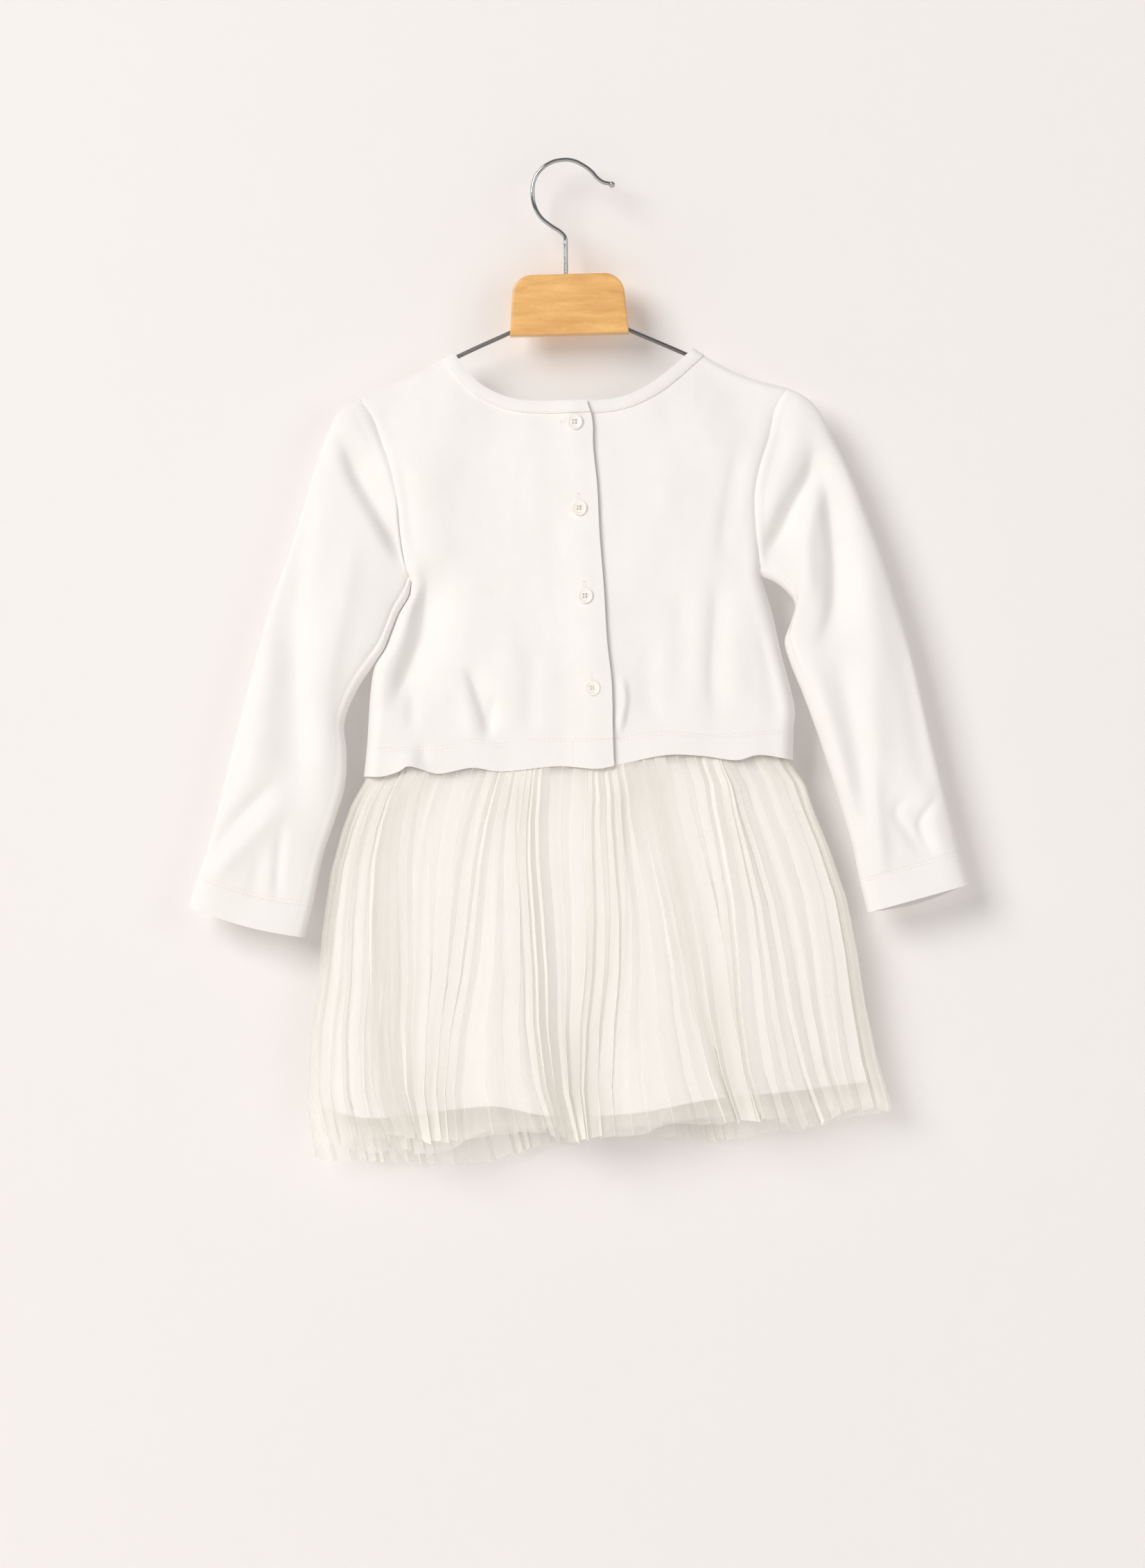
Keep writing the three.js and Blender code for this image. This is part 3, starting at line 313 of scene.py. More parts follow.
def panel(left_line, right_line, top, depth_y):
    """A bodice panel as rows of points: its turned hem, and the cloth above it."""
    hem_steps, cloth_steps = 16, 132
    hem_sides, cloth_sides = [], []
    for line, corner in ((left_line, top[0]), (right_line, top[-1])):
        low = z_at(x_at(z_at(line[-1, 0], bodice_hem), line), bodice_hem)
        seam = z_at(x_at(z_at(x_at(low, line), hem_seam), line), hem_seam)
        hem_sides.append(edge_rows(line, low, seam, hem_steps))
        cloth_sides.append(edge_rows(line, seam, corner[1], cloth_steps))
        cloth_sides[-1][-1] = corner
    left, right = hem_sides
    hem = spread(left, right, level_row(left[0], right[0], bodice_hem, len(top)),
                 level_row(left[-1], right[-1], hem_seam, len(top)))
    cloth = spread(*cloth_sides, hem[-1], top)
    x, z = np.moveaxis(np.vstack([hem[:-1], cloth]), 2, 0)
    return np.stack([x, depth_y(x, z), z], axis=-1)


def offset(line, distance, first, last):
    """A neck line moved away from the neck. It leaves its ends in the given directions."""
    tangent = np.gradient(line, axis=0)
    out = unit(np.column_stack([tangent[:, 1], -tangent[:, 0]]))
    neck_centre = (0.005, -0.12)
    out[np.sum(out * (line - neck_centre), axis=1) < 0] *= -1
    run = run_along(line)
    for end, direction in ((run, first), (run[-1] - run, last)):
        if direction is not None:
            share = ramp(end, 0.006, 0)[:, None]
            out = out * (1 - share) + share * np.array(direction) / np.hypot(*direction)
    return line + distance * out / np.linalg.norm(out, axis=1)[:, None]


def only(piece):
    """Makes one piece the only selected and active one."""
    bpy.ops.object.select_all(action="DESELECT")
    piece.select_set(True)
    bpy.context.view_layer.objects.active = piece


def new_piece(name, shape):
    """A new object of a mesh or curve, the only one selected."""
    piece = bpy.data.objects.new(name, shape)
    bpy.context.collection.objects.link(piece)
    only(piece)
    return piece


def apply_modifier(piece, name, kind, **values):
    """Adds a modifier with these values and applies it."""
    modifier = piece.modifiers.new(name, kind)
    for key, value in values.items():
        setattr(modifier, key, value)
    only(piece)
    bpy.ops.object.modifier_apply(modifier=name)


def sheet_object(name, grid, wall=0.0, facing=-1, closed=False, crease=50, pleated=False):
    """Makes cloth from rows of points, with a UV map in metres. Closed cloth goes right round."""
    rows, columns = grid.shape[:2]
    index = np.arange(rows * columns).reshape(rows, columns)
    laid = grid
    if closed:
        index = np.hstack([index, index[:, :1]])
        laid = np.concatenate([grid, grid[:, :1]], axis=1)
    corners = [np.s_[:-1, :-1], np.s_[:-1, 1:], np.s_[1:, 1:], np.s_[1:, :-1]]
    quads = np.stack([index[corner] for corner in corners], -1).reshape(-1, 4)
    mesh = bpy.data.meshes.new(name)
    mesh.from_pydata(grid.reshape(-1, 3).tolist(), [], quads.tolist())
    across = np.cumsum(np.linalg.norm(np.diff(laid, axis=1, prepend=laid[:, :1]), axis=2), axis=1)
    down = np.cumsum(np.linalg.norm(np.diff(laid, axis=0, prepend=laid[:1]), axis=2), axis=0)
    if pleated:
        across = np.broadcast_to(across.mean(axis=0), across.shape)
    uv = np.stack([across, down], -1)
    layer = mesh.uv_layers.new(name="cloth")
    layer.data.foreach_set("uv", np.stack([uv[c] for c in corners], 2).ravel())
    normal = np.zeros(3 * len(quads), np.float32)
    mesh.polygons.foreach_get("normal", normal)
    normal = normal.reshape(rows - 1, -1, 3)
    if closed:
        outward = laid[:-1, :-1] - grid[:-1].mean(axis=1, keepdims=True)
        turned = np.sum(normal * outward) < 0
    else:
        turned = normal[..., 1].sum() * facing < 0
    if turned:
        mesh.flip_normals()
    cloth = new_piece(name, mesh)
    if wall:
        apply_modifier(cloth, "wall", "SOLIDIFY", thickness=wall, offset=0)
    bpy.ops.object.shade_smooth_by_angle(angle=math.radians(crease))
    return cloth


def flat_area(grid, closed=False):
    """Area in square metres of a sheet given as rows of points."""
    laid = np.concatenate([grid, grid[:, :1]], axis=1) if closed else grid
    first, second = laid[1:, 1:] - laid[:-1, :-1], laid[1:, :-1] - laid[:-1, 1:]
    return float(0.5 * np.linalg.norm(np.cross(first, second), axis=2).sum())


def finish_piece(piece, material, node):
    """Gives a piece its finish and lets it stand for a solid of the model."""
    piece.data.materials.clear()
    piece.data.materials.append(material)
    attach(piece, "root")
    if node:
        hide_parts(node)


def new_material(name):
    """A new material with makers of its nodes, of colour ramps and of its surface."""
    material = bpy.data.materials.new(name)
    material.use_nodes = True
    tree = material.node_tree

    def fill(socket, value):
        if isinstance(value, bpy.types.NodeSocket):
            tree.links.new(value, socket)
        else:
            socket.default_value = value

    def make(kind, *first, **values):
        """A node with its first sockets, then its other sockets and settings by name."""
        node = tree.nodes.new("ShaderNode" + kind)
        for socket, value in zip(node.inputs, first):
            if value is not None:
                fill(socket, value)
        for key, value in values.items():
            if hasattr(node, key):
                setattr(node, key, value)
            else:
                fill(node.inputs[key.replace("_", " ")], value)
        return node.outputs

    def tone(amount, dark, light, low=0.0, high=1.0):
        """A colour between dark and light, as the amount runs from low to high."""
        node = tree.nodes.new("ShaderNodeValToRGB")
        for element, place, colour in zip(node.color_ramp.elements, (low, high), (dark, light)):
            element.position, element.color = place, (*colour, 1)
        tree.links.new(amount, node.inputs["Fac"])
        return node.outputs["Color"]

    def surface(height=None, bump=0.0, deep=0.1 * mm, **values):
        """Fills the shader's sockets, with a bump where a height is given."""
        shader = tree.nodes["Principled BSDF"]
        if height is not None:
            values["Normal"] = make("Bump", Strength=bump, Distance=deep, Height=height)["Normal"]
        for key, value in values.items():
            fill(shader.inputs[key.replace("_", " ")], value)
        return material

    return make, tone, surface


def knitted_cotton(name, colour, shade):
    """Matt cotton jersey: fine wales and courses, a faint fuzz and slightly uneven colour."""
    make, tone, surface = new_material(name)
    at = make("TexCoord")
    wales, courses = (
        make("TexWave", Vector=at["UV"], bands_direction=way, wave_profile="SIN", Scale=scale,
             Distortion=0.6)["Fac"] for way, scale in (("X", 380), ("Y", 470)))
    fuzz = make("TexNoise", Vector=at["Object"], Scale=900, Detail=3, Roughness=0.6)["Fac"]
    blotches = make("TexNoise", Vector=at["Object"], Scale=26, Detail=3, Roughness=0.55)["Fac"]
    knit = make("Math", courses, 0.6, wales, operation="MULTIPLY_ADD")[0]
    return surface(make("Math", knit, fuzz, operation="ADD")[0], 0.22,
                   Base_Color=tone(blotches, shade, colour, 0.3, 0.7), Roughness=0.9,
                   Specular_IOR_Level=0.2, Sheen_Weight=0.15, Sheen_Roughness=0.6)


jersey = knitted_cotton("ivory_jersey", (0.918, 0.895, 0.872), (0.902, 0.877, 0.850))
jersey_wall = 0.9 * mm
binding_width = 8.5 * mm

# Inner edge of the neck binding on the back, from the left neck point to the overlap: x, z.
left_neck = line_through([
    [-79.4, -135.2], [-74.5, -142.1], [-64.2, -154.6], [-51.9, -162.7], [-35.3, -168.4],
    [-14.7, -170], [14, -169.2],
])
left_slope, right_slope = (-15.6, -9.0), (13.3, -8.5)


def shoulder_line(x0, x1, count):
    """Places along the shoulder line between two places across."""
    x = np.linspace(x0, x1, count)
    return np.column_stack([x, np.interp(x, shoulders[:, 0], shoulders[:, 1])])


under_binding = 0.55 * binding_width
neck = along(offset(left_neck, under_binding, left_slope, (0.35, -0.94)), 70)
top = np.vstack([shoulder_line(left_armhole[0, 0], neck[0, 0], 46)[:-1], neck])
left_line = np.vstack([left_armhole, left_side[1:]])
back_left_grid = panel(left_line, overlap_edge, top, overlap_y)
back_left = sheet_object("buttonhole_side", back_left_grid, jersey_wall)
finish_piece(back_left, jersey, "back_left")
flat_area(back_left_grid)

# ---- Back of the bodice, button side ----
# The right half of the back is the same jersey. Its free edge is folded under and runs on behind
# the buttonhole side, so that the two halves close without a gap.
underlap = 0.020
right_neck = line_through([
    [89.7, -132.1], [84.3, -136.8], [75, -145.3], [58.8, -157.7], [40.2, -166.4],
    [19.6, -169.5], [-7.9, -169.3],
])
neck = along(offset(right_neck, under_binding, right_slope, (0, -1)), 70)
shoulder = shoulder_line(right_armhole[0, 0], neck[0, 0], 46)[:-1]
top = np.vstack([shoulder, neck])[::-1]
right_line = np.vstack([right_armhole, right_side[1:]])
back_right_grid = panel(overlap_edge - [underlap, 0], right_line, top, near_y)
back_right = sheet_object("button_side", back_right_grid, jersey_wall)
finish_piece(back_right, jersey, "back_right")
flat_area(back_right_grid)

# ---- Front of the bodice ----
# One piece of jersey, plain and scooped lower at the neck. It hangs on the far side, joined to the
# back at the shoulders and down the sides.
front_neck = line_through([
    [-79.4, -135.2], [-72, -151], [-58, -170], [-38, -185], [-12, -193.5],
    [5, -195], [30, -193], [52, -183], [70, -166], [82, -147],
    [89.7, -132.1],
])
neck = along(offset(front_neck, under_binding, left_slope, right_slope), 110)
top = np.vstack([
    shoulder_line(left_armhole[0, 0], neck[0, 0], 40)[:-1],
    neck,
    shoulder_line(neck[-1, 0], right_armhole[0, 0], 40)[1:],
])
front_grid = panel(left_line, right_line, top, far_y)
front = sheet_object("front_of_bodice", front_grid, jersey_wall, facing=1)
finish_piece(front, jersey, "front_bodice")
flat_area(front_grid)

# ---- Stitching of the bodice ----
# Ivory cotton thread. The twin needle leaves two rows of short stitches along the turned hem, and
# a third row closes the folded facing behind the buttonholes.


def thread_colour(name, colour):
    """Fine cotton thread with the slight gloss of its twist."""
    make, tone, surface = new_material(name)
    twist = make("TexWave", Vector=make("TexCoord")["Object"], bands_direction="DIAGONAL",
                 Scale=700, Distortion=1.0)["Fac"]
    return surface(twist, 0.4, Base_Color=tone(twist, [0.93 * c for c in colour], colour),
                   Roughness=0.6)


ivory_thread = thread_colour("ivory_thread", (0.90, 0.86, 0.80))


def stitch_row(path, out, length=2.2 * mm, gap=0.7 * mm, radius=0.22 * mm):
    """Corners and faces of small stitches laid end to end on a line of points on cloth."""
    run = run_along(path)
    starts = np.arange(gap, run[-1] - length, length + gap)

    def read(values, at):
        return np.column_stack([np.interp(at, run, values[:, k]) for k in range(3)])

    first, last = read(path, starts), read(path, starts + length)
    lift = unit(read(out, starts + length / 2))
    side = unit(np.cross(last - first, lift))
    rings = []
    for share, thick, high in ((0, 0, -0.8), (0.2, 0.9, 0.15), (0.5, 1, 0.35), (0.8, 0.9, 0.15),
                               (1, 0, -0.8)):
        centre = first + (last - first) * share + lift * radius * high
        turns = np.arange(5) * 2 * math.pi / 5 if thick else [0]
        ring = [centre + radius * thick * (math.cos(a) * side + math.sin(a) * lift) for a in turns]
        rings.extend(ring)
    corners = np.stack(rings, axis=1)
    faces = []
    for k in range(5):
        n = (k + 1) % 5
        faces += [(0, 1 + n, 1 + k), (16, 11 + k, 11 + n)]
        faces += [(1 + 5 * r + k, 1 + 5 * r + n, 6 + 5 * r + n, 6 + 5 * r + k) for r in (0, 1)]
    return corners, faces


def stitches(name, rows):
    """One object of all the stitches of some rows of points on cloth and directions out of it."""
    corners, faces = [], []
    for path, out in rows:
        made, pattern = stitch_row(path, out)
        for stitch in made:
            faces += [tuple(len(corners) + i for i in face) for face in pattern]
            corners += stitch.tolist()
    mesh = bpy.data.meshes.new(name)
    mesh.from_pydata(corners, [], faces)
    thread = new_piece(name, mesh)
    bpy.ops.object.mode_set(mode="EDIT")
    bpy.ops.mesh.select_all(action="SELECT")
    bpy.ops.mesh.normals_make_consistent(inside=False)
    bpy.ops.object.mode_set(mode="OBJECT")
    bpy.ops.object.shade_smooth()
    finish_piece(thread, ivory_thread, None)
    return thread


def on_cloth(x, z, depth_y, side):
    """Points on the face of a bodice panel, with the direction out of it."""
    y = depth_y(x, z) + side * jersey_wall / 2
    return np.column_stack([x, y, z]), np.tile([0.0, side, 0.0], (len(x), 1))


def hem_rows(x0, x1, depth_y, side):
    """The two twin-needle rows of a bodice panel's hem."""
    x = np.arange(x0, x1, 0.5 * mm)
    return [on_cloth(x, z_at(x, hem_seam) + row, depth_y, side) for row in (0, -needle_gap)]


# The rows stop short of the side seams and the overlap, and break where the facing is stitched.
overlap_x, facing_x = x_at(-0.408, overlap_edge), 0.0046
rows = hem_rows(-0.1385, 0.0035, overlap_y, -1) + hem_rows(0.0045, overlap_x - 0.001, overlap_y, -1)
rows += hem_rows(overlap_x + 0.003, 0.1585, near_y, -1)
rows += hem_rows(-0.136, 0.156, far_y, 1)
facing_z = np.arange(-0.4265, -0.409, 0.5 * mm)
rows.append(on_cloth(np.full_like(facing_z, facing_x), facing_z, overlap_y, -1))
stitches("bodice_hem_stitching", rows)

# ---- Neck binding ----
# A strip of the same jersey folded over the neck edge and stitched down along its lower side. It
# runs from the corner of the overlap round the front to the hidden end on the button side.
binding_wall = 1.7 * mm


def binding_run(line, first, last, depth_y, count):
    """One run of the binding as points across it, from its inner to its outer edge."""
    outer = along(offset(line, binding_width, first, last), count)
    inner = along(line, count)
    share = np.linspace(0, 1, 9)[:, None, None]
    places = inner * (1 - share) + outer * share
    x, z = places[..., 0], places[..., 1]
    y = depth_y(x, z)
    side = np.sign(y.mean())
    # The folded strip is full along its middle and drawn in where it is stitched down.
    crown = 0.75 * mm + 0.45 * mm * (1 - (2 * share[..., 0] - 1) ** 2)
    crown = crown - 0.35 * mm * hump(share[..., 0], 0.84, 0.06)
    near_ridge = ramp(np.abs(y), 0.2 * mm, 3 * mm)
    return np.stack([x, y + side * crown * near_ridge, z], axis=-1)


runs = [
    binding_run(left_neck, left_slope, (0.35, -0.94), overlap_y, 120)[:, ::-1],
    binding_run(front_neck, left_slope, right_slope, far_y, 210)[:, 1:-1],
    binding_run(right_neck, right_slope, (0, -1), near_y, 120),
]
binding_grid = np.concatenate(runs, axis=1)
binding = sheet_object("neck_strip", binding_grid, binding_wall)
finish_piece(binding, jersey, "neck_binding")
path = binding_grid[7, 2:]
out = np.where(path[:, 1:2] < 0, [[0.0, -1, 0]], [[0.0, 1, 0]])
stitches("binding_stitching", [(path + out * binding_wall / 2, out)])

# ---- Buttons ----
# Four small four-hole buttons of pearly plastic, each with a raised rim round a shallow dish. They
# are sewn on with ivory thread that crosses between the holes.


def pearl(name):
    """Polished white plastic with the soft clouds of imitation shell."""
    make, tone, surface = new_material(name)
    cloud = make("TexNoise", Vector=make("TexCoord")["Object"], Scale=260, Detail=2,
                 Roughness=0.5, Distortion=1.5)["Fac"]
    clouded = tone(cloud, (0.93, 0.89, 0.82), (0.985, 0.965, 0.93), 0.35, 0.65)
    return surface(Base_Color=clouded, Roughness=0.22, Coat_Weight=0.4, Coat_Roughness=0.08)


def select_parts(piece, kind, wanted):
    """Selects in edit mode the faces a test accepts by centre and normal, or the edges by ends."""
    bpy.ops.object.mode_set(mode="OBJECT")
    mesh = piece.data
    for part in (*mesh.vertices, *mesh.edges, *mesh.polygons):
        part.select = False
    for part in mesh.polygons if kind == "FACE" else mesh.edges:
        if kind == "FACE":
            part.select = wanted(part.center, part.normal)
        else:
            part.select = wanted(*(mesh.vertices[number].co for number in part.vertices))
    bpy.ops.object.mode_set(mode="EDIT")
    bpy.ops.mesh.select_mode(type=kind)


def start_piece(name):
    """Names the primitive that was just added and bakes its place into its mesh."""
    piece = bpy.context.object
    piece.name = piece.data.name = name
    bpy.ops.object.transform_apply(location=True, rotation=True, scale=True)
    return piece


def wire(name, places, radius, steps=12, cyclic=False, sides=4):
    """A round wire or thread through places, made into a mesh."""
    curve = bpy.data.curves.new(name, "CURVE")
    curve.dimensions = "3D"
    curve.bevel_depth = radius
    curve.bevel_resolution = sides
    curve.resolution_u = steps
    curve.use_fill_caps = not cyclic
    spline = curve.splines.new("BEZIER")
    spline.bezier_points.add(len(places) - 1)
    spline.use_cyclic_u = cyclic
    for point, place in zip(spline.bezier_points, places):
        point.co = place
        point.handle_left_type = point.handle_right_type = "AUTO"
    new_piece(name, curve)
    bpy.ops.object.convert(target="MESH")
    bpy.ops.object.shade_smooth_by_angle(angle=math.radians(40))
    return bpy.context.object


button_radius, button_height = 5.5 * mm, 2.3 * mm
hole_radius, hole_pitch, thread_radius = 0.62 * mm, 1.9 * mm, 0.34 * mm
pearl_white = pearl("pearly_plastic")
bpy.ops.mesh.primitive_cylinder_add(vertices=48, radius=button_radius, depth=button_height,
                                    rotation=(math.pi / 2, 0, 0))
pattern_button = start_piece("pattern_button")
select_parts(pattern_button, "FACE", lambda centre, normal: normal.y < -0.9)
bpy.ops.mesh.inset(thickness=1.25 * mm)
bpy.ops.mesh.inset(thickness=0.75 * mm)
bpy.ops.transform.translate(value=(0, 0.45 * mm, 0))
bpy.ops.object.mode_set(mode="OBJECT")
apply_modifier(pattern_button, "soft_rim", "BEVEL", width=0.55 * mm, segments=4,
               limit_method="ANGLE", angle_limit=math.radians(25))
for side_x in (-1, 1):
    for side_z in (-1, 1):
        bpy.ops.mesh.primitive_cylinder_add(
            vertices=20, radius=hole_radius, depth=4 * button_height, rotation=(math.pi / 2, 0, 0),
            location=(side_x * hole_pitch / 2, 0, side_z * hole_pitch / 2))
        drill = bpy.context.object
        apply_modifier(pattern_button, "hole", "BOOLEAN", operation="DIFFERENCE", object=drill,
                       solver="EXACT")
        bpy.data.objects.remove(drill)
only(pattern_button)
bpy.ops.object.shade_smooth_by_angle(angle=math.radians(35))
button_centres = []
for number in range(1, 5):
    low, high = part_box(f"button_{number}")
    centre = (low + high) / 2
    button_centres.append(centre)
    button = new_piece(f"sewn_button_{number}", pattern_button.data.copy())
    button.data.name = button.name
    button.location = centre
    bpy.ops.object.transform_apply(location=True, rotation=False, scale=False)
    finish_piece(button, pearl_white, f"button_{number}")
    turn = math.radians((0, 8, -6, 4)[number - 1])
    dish_y = low.y + 0.9 * mm
    for strand, lift in ((1, 0.30 * mm), (-1, 0.62 * mm)):
        places = []
        for share in (-1, -0.62, 0, 0.62, 1):
            reach = share * hole_pitch * 0.62
            x = reach * math.cos(turn) - strand * reach * math.sin(turn)
            z = reach * math.sin(turn) + strand * reach * math.cos(turn)
            deep = 1.1 * mm if abs(share) == 1 else -lift * (1 - share * share)
            places.append((centre.x + x, dish_y + deep, centre.z + z))
        name = f"button_{number}_thread_{'a' if strand > 0 else 'b'}"
        thread = wire(name, places, thread_radius, 6)
        finish_piece(thread, ivory_thread, None)
bpy.data.objects.remove(pattern_button)

# ---- Buttonholes ----
# Each is a slit bound with close satin stitches. The top one lies along the neck and the others
# run down the edge, so that only their upper ends show above the buttons.


def buttonhole(name, x, z, half_length, upright):
    """A bound slit as a ring of raised thread pressed into the cloth."""
    half_width, satin, pressed_in, points = 0.7 * mm, 0.10 * mm, 0.1 * mm, 96
    turns = np.linspace(0, 2 * math.pi, points, endpoint=False)
    straight = half_length - half_width
    a = half_width * np.cos(turns) + straight * np.sign(np.cos(turns))
    b = half_width * np.sin(turns)
    wave = satin * np.where(np.arange(points) % 2, 1, -1)
    a, b = a + wave * np.cos(turns), b + wave * np.sin(turns)
    x, z = (x + b, z + a) if upright else (x + a, z + b)
    y = overlap_y(x, z) - jersey_wall / 2 + pressed_in
    ring = wire(name, np.column_stack([x, y, z]).tolist(), 0.30 * mm, 2, cyclic=True, sides=2)
    finish_piece(ring, ivory_thread, None)


for number, centre in enumerate(button_centres, 1):
    to_left, up = (3.2 * mm, 0) if number == 1 else (0.6 * mm, 3.6 * mm)
    buttonhole(f"buttonhole_{number}", centre.x - to_left, centre.z + up, 6.6 * mm, number > 1)

# ---- Sleeves ----
# Each sleeve is one piece of jersey with a seam under the arm, set into the armhole and turned up
# at the cuff with two rows of stitches. They hang flat beside the body.
left_rings = [
    # outer edge x and z, inner edge x and z, half depth, sag of the near and of the far cloth
    (-158, -174, -111.9, -307, 8.2, 0, 0), (-167, -188.7, -119.2, -319.5, 8.8, 0, 0),
    (-177, -215.5, -124.2, -332, 9.2, 0, 0), (-186, -246, -129.4, -345, 9.4, 0, 0),
    (-195.5, -276.5, -138.2, -357.7, 9.4, 0, 0), (-206, -305.5, -148.5, -373.5, 9.2, 0, 0),
    (-215.5, -337, -157.3, -396, 9, 0, 0), (-225, -373.5, -156, -417, 8.8, 0, 0),
    (-234, -409, -156.8, -440, 8.6, 1, 1), (-243, -446, -164, -465, 8.4, 2, 1),
    (-251.9, -481.2, -172.5, -490.5, 8.2, 3, 1), (-259.9, -504.9, -180, -525.5, 8.2, 3, 1),
    (-266.6, -526.3, -185.7, -548.1, 8.4, 3, 1),
]
right_rings = [
    (167, -165.5, 148, -297, 8.2, 0, 0), (177.5, -175, 158.5, -306, 8.8, 0, 0),
    (188.7, -196.8, 162.3, -315, 9.2, 0, 0), (199.5, -219, 159, -326.5, 9.4, 0, 0),
    (211.2, -248.4, 154.8, -339, 9.4, 0, 0), (221.5, -277, 158.3, -353, 9.2, 0, 0),
    (233, -313, 167.5, -375.5, 9, 0, 0), (243, -347, 177.5, -402.5, 8.8, 0, 0),
    (252, -385, 186.5, -430, 8.6, 0, 1), (260.5, -421.5, 194.5, -456, 8.4, 0, 2),
    (268.5, -454, 202.5, -483, 8.4, 0, 3), (277.5, -489, 208, -509, 8.8, 0, 4),
    (283.5, -510.9, 213.3, -530.5, 9.2, 0, 4),
]
left_sleeve_creases = [
    # width, rise towards the viewer, skew, then places x and z (all but the skew in millimetres)
    (9, -7.5, 0.35, (-160, -188), (-147, -222), (-130, -252), (-118, -275), (-112, -292)),
    (13, -4.6, -0.25, (-172, -195), (-187, -255), (-192, -325), (-192, -375), (-188, -430),
     (-192, -475)),
    (17, 3.6, 0, (-202, -325), (-216, -395), (-230, -455)),
    (14, 3.4, -0.3, (-150, -250), (-158, -310), (-168, -360), (-172, -410), (-178, -462)),
    (7, 3.2, 0.2, (-194, -447), (-222, -476), (-260, -512)),
    (6, -3, 0, (-202, -436), (-230, -463), (-261, -500)),
    (7, -1.5, 0, (-222, -408), (-240, -440), (-254, -474)),
    (6, -1.2, 0, (-214, -485), (-217, -500), (-222, -526)),
    (4, -2, 0, (-199, -465), (-203, -495), (-204, -526)),
    (5, -1.8, 0, (-131, -335), (-141, -368), (-152, -400)),
]
right_sleeve_creases = [
    (9, -7.4, 0.35, (179, -194), (171, -222), (158, -246), (145, -273), (137, -290)),
    (7, 2.2, 0, (168, -182), (156, -212), (146, -240), (138, -270)),
    (7, 3.2, 0, (177, -225), (170, -262), (171, -292), (174, -320)),
    (10, -7.2, 0.35, (182, -208), (187, -250), (190, -290), (188, -320), (177, -350)),
    (12, 3.4, 0, (210, -255), (216, -330), (216, -390), (224, -460)),
    (8, 3.4, 0, (170, -345), (181, -385), (192, -425), (202, -470)),
    (8, -3.2, 0, (190, -340), (200, -385), (207, -420), (214, -475)),
    (9, -2.8, 0, (234, -315), (247, -390), (260, -460)),
    (4, -2.6, 0.2, (265, -445), (254, -459), (249.5, -468), (253, -479), (261, -494)),
    (4, -1.7, 0, (246, -444), (233, -459), (241, -474), (257, -496)),
    (8, 1.7, 0, (250, -432), (259, -463), (267, -494)),
    (8, 3, -0.2, (213, -418), (219, -465), (224, -512)),
]
cuff_width = 22 * mm
half_ring = 64
around = (1 - np.cos(np.linspace(0, math.pi, half_ring + 1))) / 2
sleeve_round = (1 - np.abs(2 * around - 1) ** 5) ** 0.36


def sleeve_rows(armhole, rings, crease_rows, seed):
    """A sleeve as closed rings of points from the armhole to the cuff, and the way down it."""
    seam = along(armhole, 400)[np.round(around * 399).astype(int)]
    x, z = seam[:, 0], seam[:, 1]
    shape = bodice_depth(x, z) + half_cloth
    shape[[0, -1]] = 0
    loop = [(x, -shape, z), (x[-2:0:-1], shape[-2:0:-1], z[-2:0:-1])]
    stack = [np.hstack([np.stack(part) for part in loop]).T]
    straight = seam - (seam[0] + around[:, None] * (seam[-1] - seam[0]))
    for number, ring in enumerate(np.array(rings) * mm):
        outer, inner, (depth, near_sag, far_sag) = ring[0:2], ring[2:4], ring[4:7]
        across = (inner - outer) / np.linalg.norm(inner - outer)
        down = np.array([across[1], -across[0]]) * np.sign(across[0])
        places = outer + around[:, None] * (inner - outer)
        # The armhole's curve fades out over the first three rings.
        places = places + straight * max(0, 1 - 0.27 * (number + 1))
        bow = np.sin(math.pi * around)[:, None] * down
        sides = [
            np.insert(places + sag * bow, 1, side * depth * sleeve_round, axis=1)
            for side, sag in ((-1, near_sag), (1, far_sag))
        ]
        stack.append(np.vstack([sides[0], sides[1][-2:0:-1]]))
    stack = np.array(stack)
    knots = np.r_[0, np.cumsum(np.linalg.norm(np.diff(stack, axis=0), axis=2).mean(axis=1))]
    run = np.arange(0, knots[-1], 2.0 * mm)
    run = np.sort(np.r_[run, knots[-1], knots[-1] - cuff_width + np.arange(-3, 3.5, 0.5) * mm])
    grid = smooth_rows(stack, knots, run)
    x, y, z = grid[..., 0], grid[..., 1], grid[..., 2]
    share = np.r_[around, around[-2:0:-1]]
    facing = np.r_[sleeve_round, sleeve_round[-2:0:-1]] ** 2
    relief = 0.6 * mm * unevenness(x, 0.7 * z, 0.030, seed)
    relief = relief + np.where(y < 0, creases(x, z, crease_rows), 0)
    to_cuff = (knots[-1] - run)[:, None]
    for row in (0, needle_gap):
        relief = relief - 0.25 * mm * hump(to_cuff - cuff_width, row, 0.9 * mm)
    relief = relief + 0.45 * mm * ramp(to_cuff, cuff_width + mm, cuff_width - 2 * mm)
    # A roll of cloth lies along the underarm edge, strongest above the elbow.
    width = np.linalg.norm(grid[:, 0] - grid[:, half_ring], axis=1)[:, None]
    to_fold = (1 - share)[None, :] * width
    roll = ramp(run[:, None], 0.17, 0.06) + 0.15
    relief = relief + 1.3 * mm * roll * hump(to_fold, 3.4 * mm, 1.5 * mm)
    relief = relief - 1.7 * mm * roll * hump(to_fold, 6.4 * mm, 1.4 * mm)
    # The seam allowance draws the armhole edge in and pushes the cloth beside it up.
    turned_in = 1.0 * mm * hump(run[:, None], 0, 1.2 * mm)
    turned_in = turned_in - 0.9 * mm * hump(run[:, None], 3.2 * mm, 1.6 * mm)
    grid[..., 1] += np.sign(y) * facing * (relief - turned_in)
    return grid, to_cuff[:, 0]


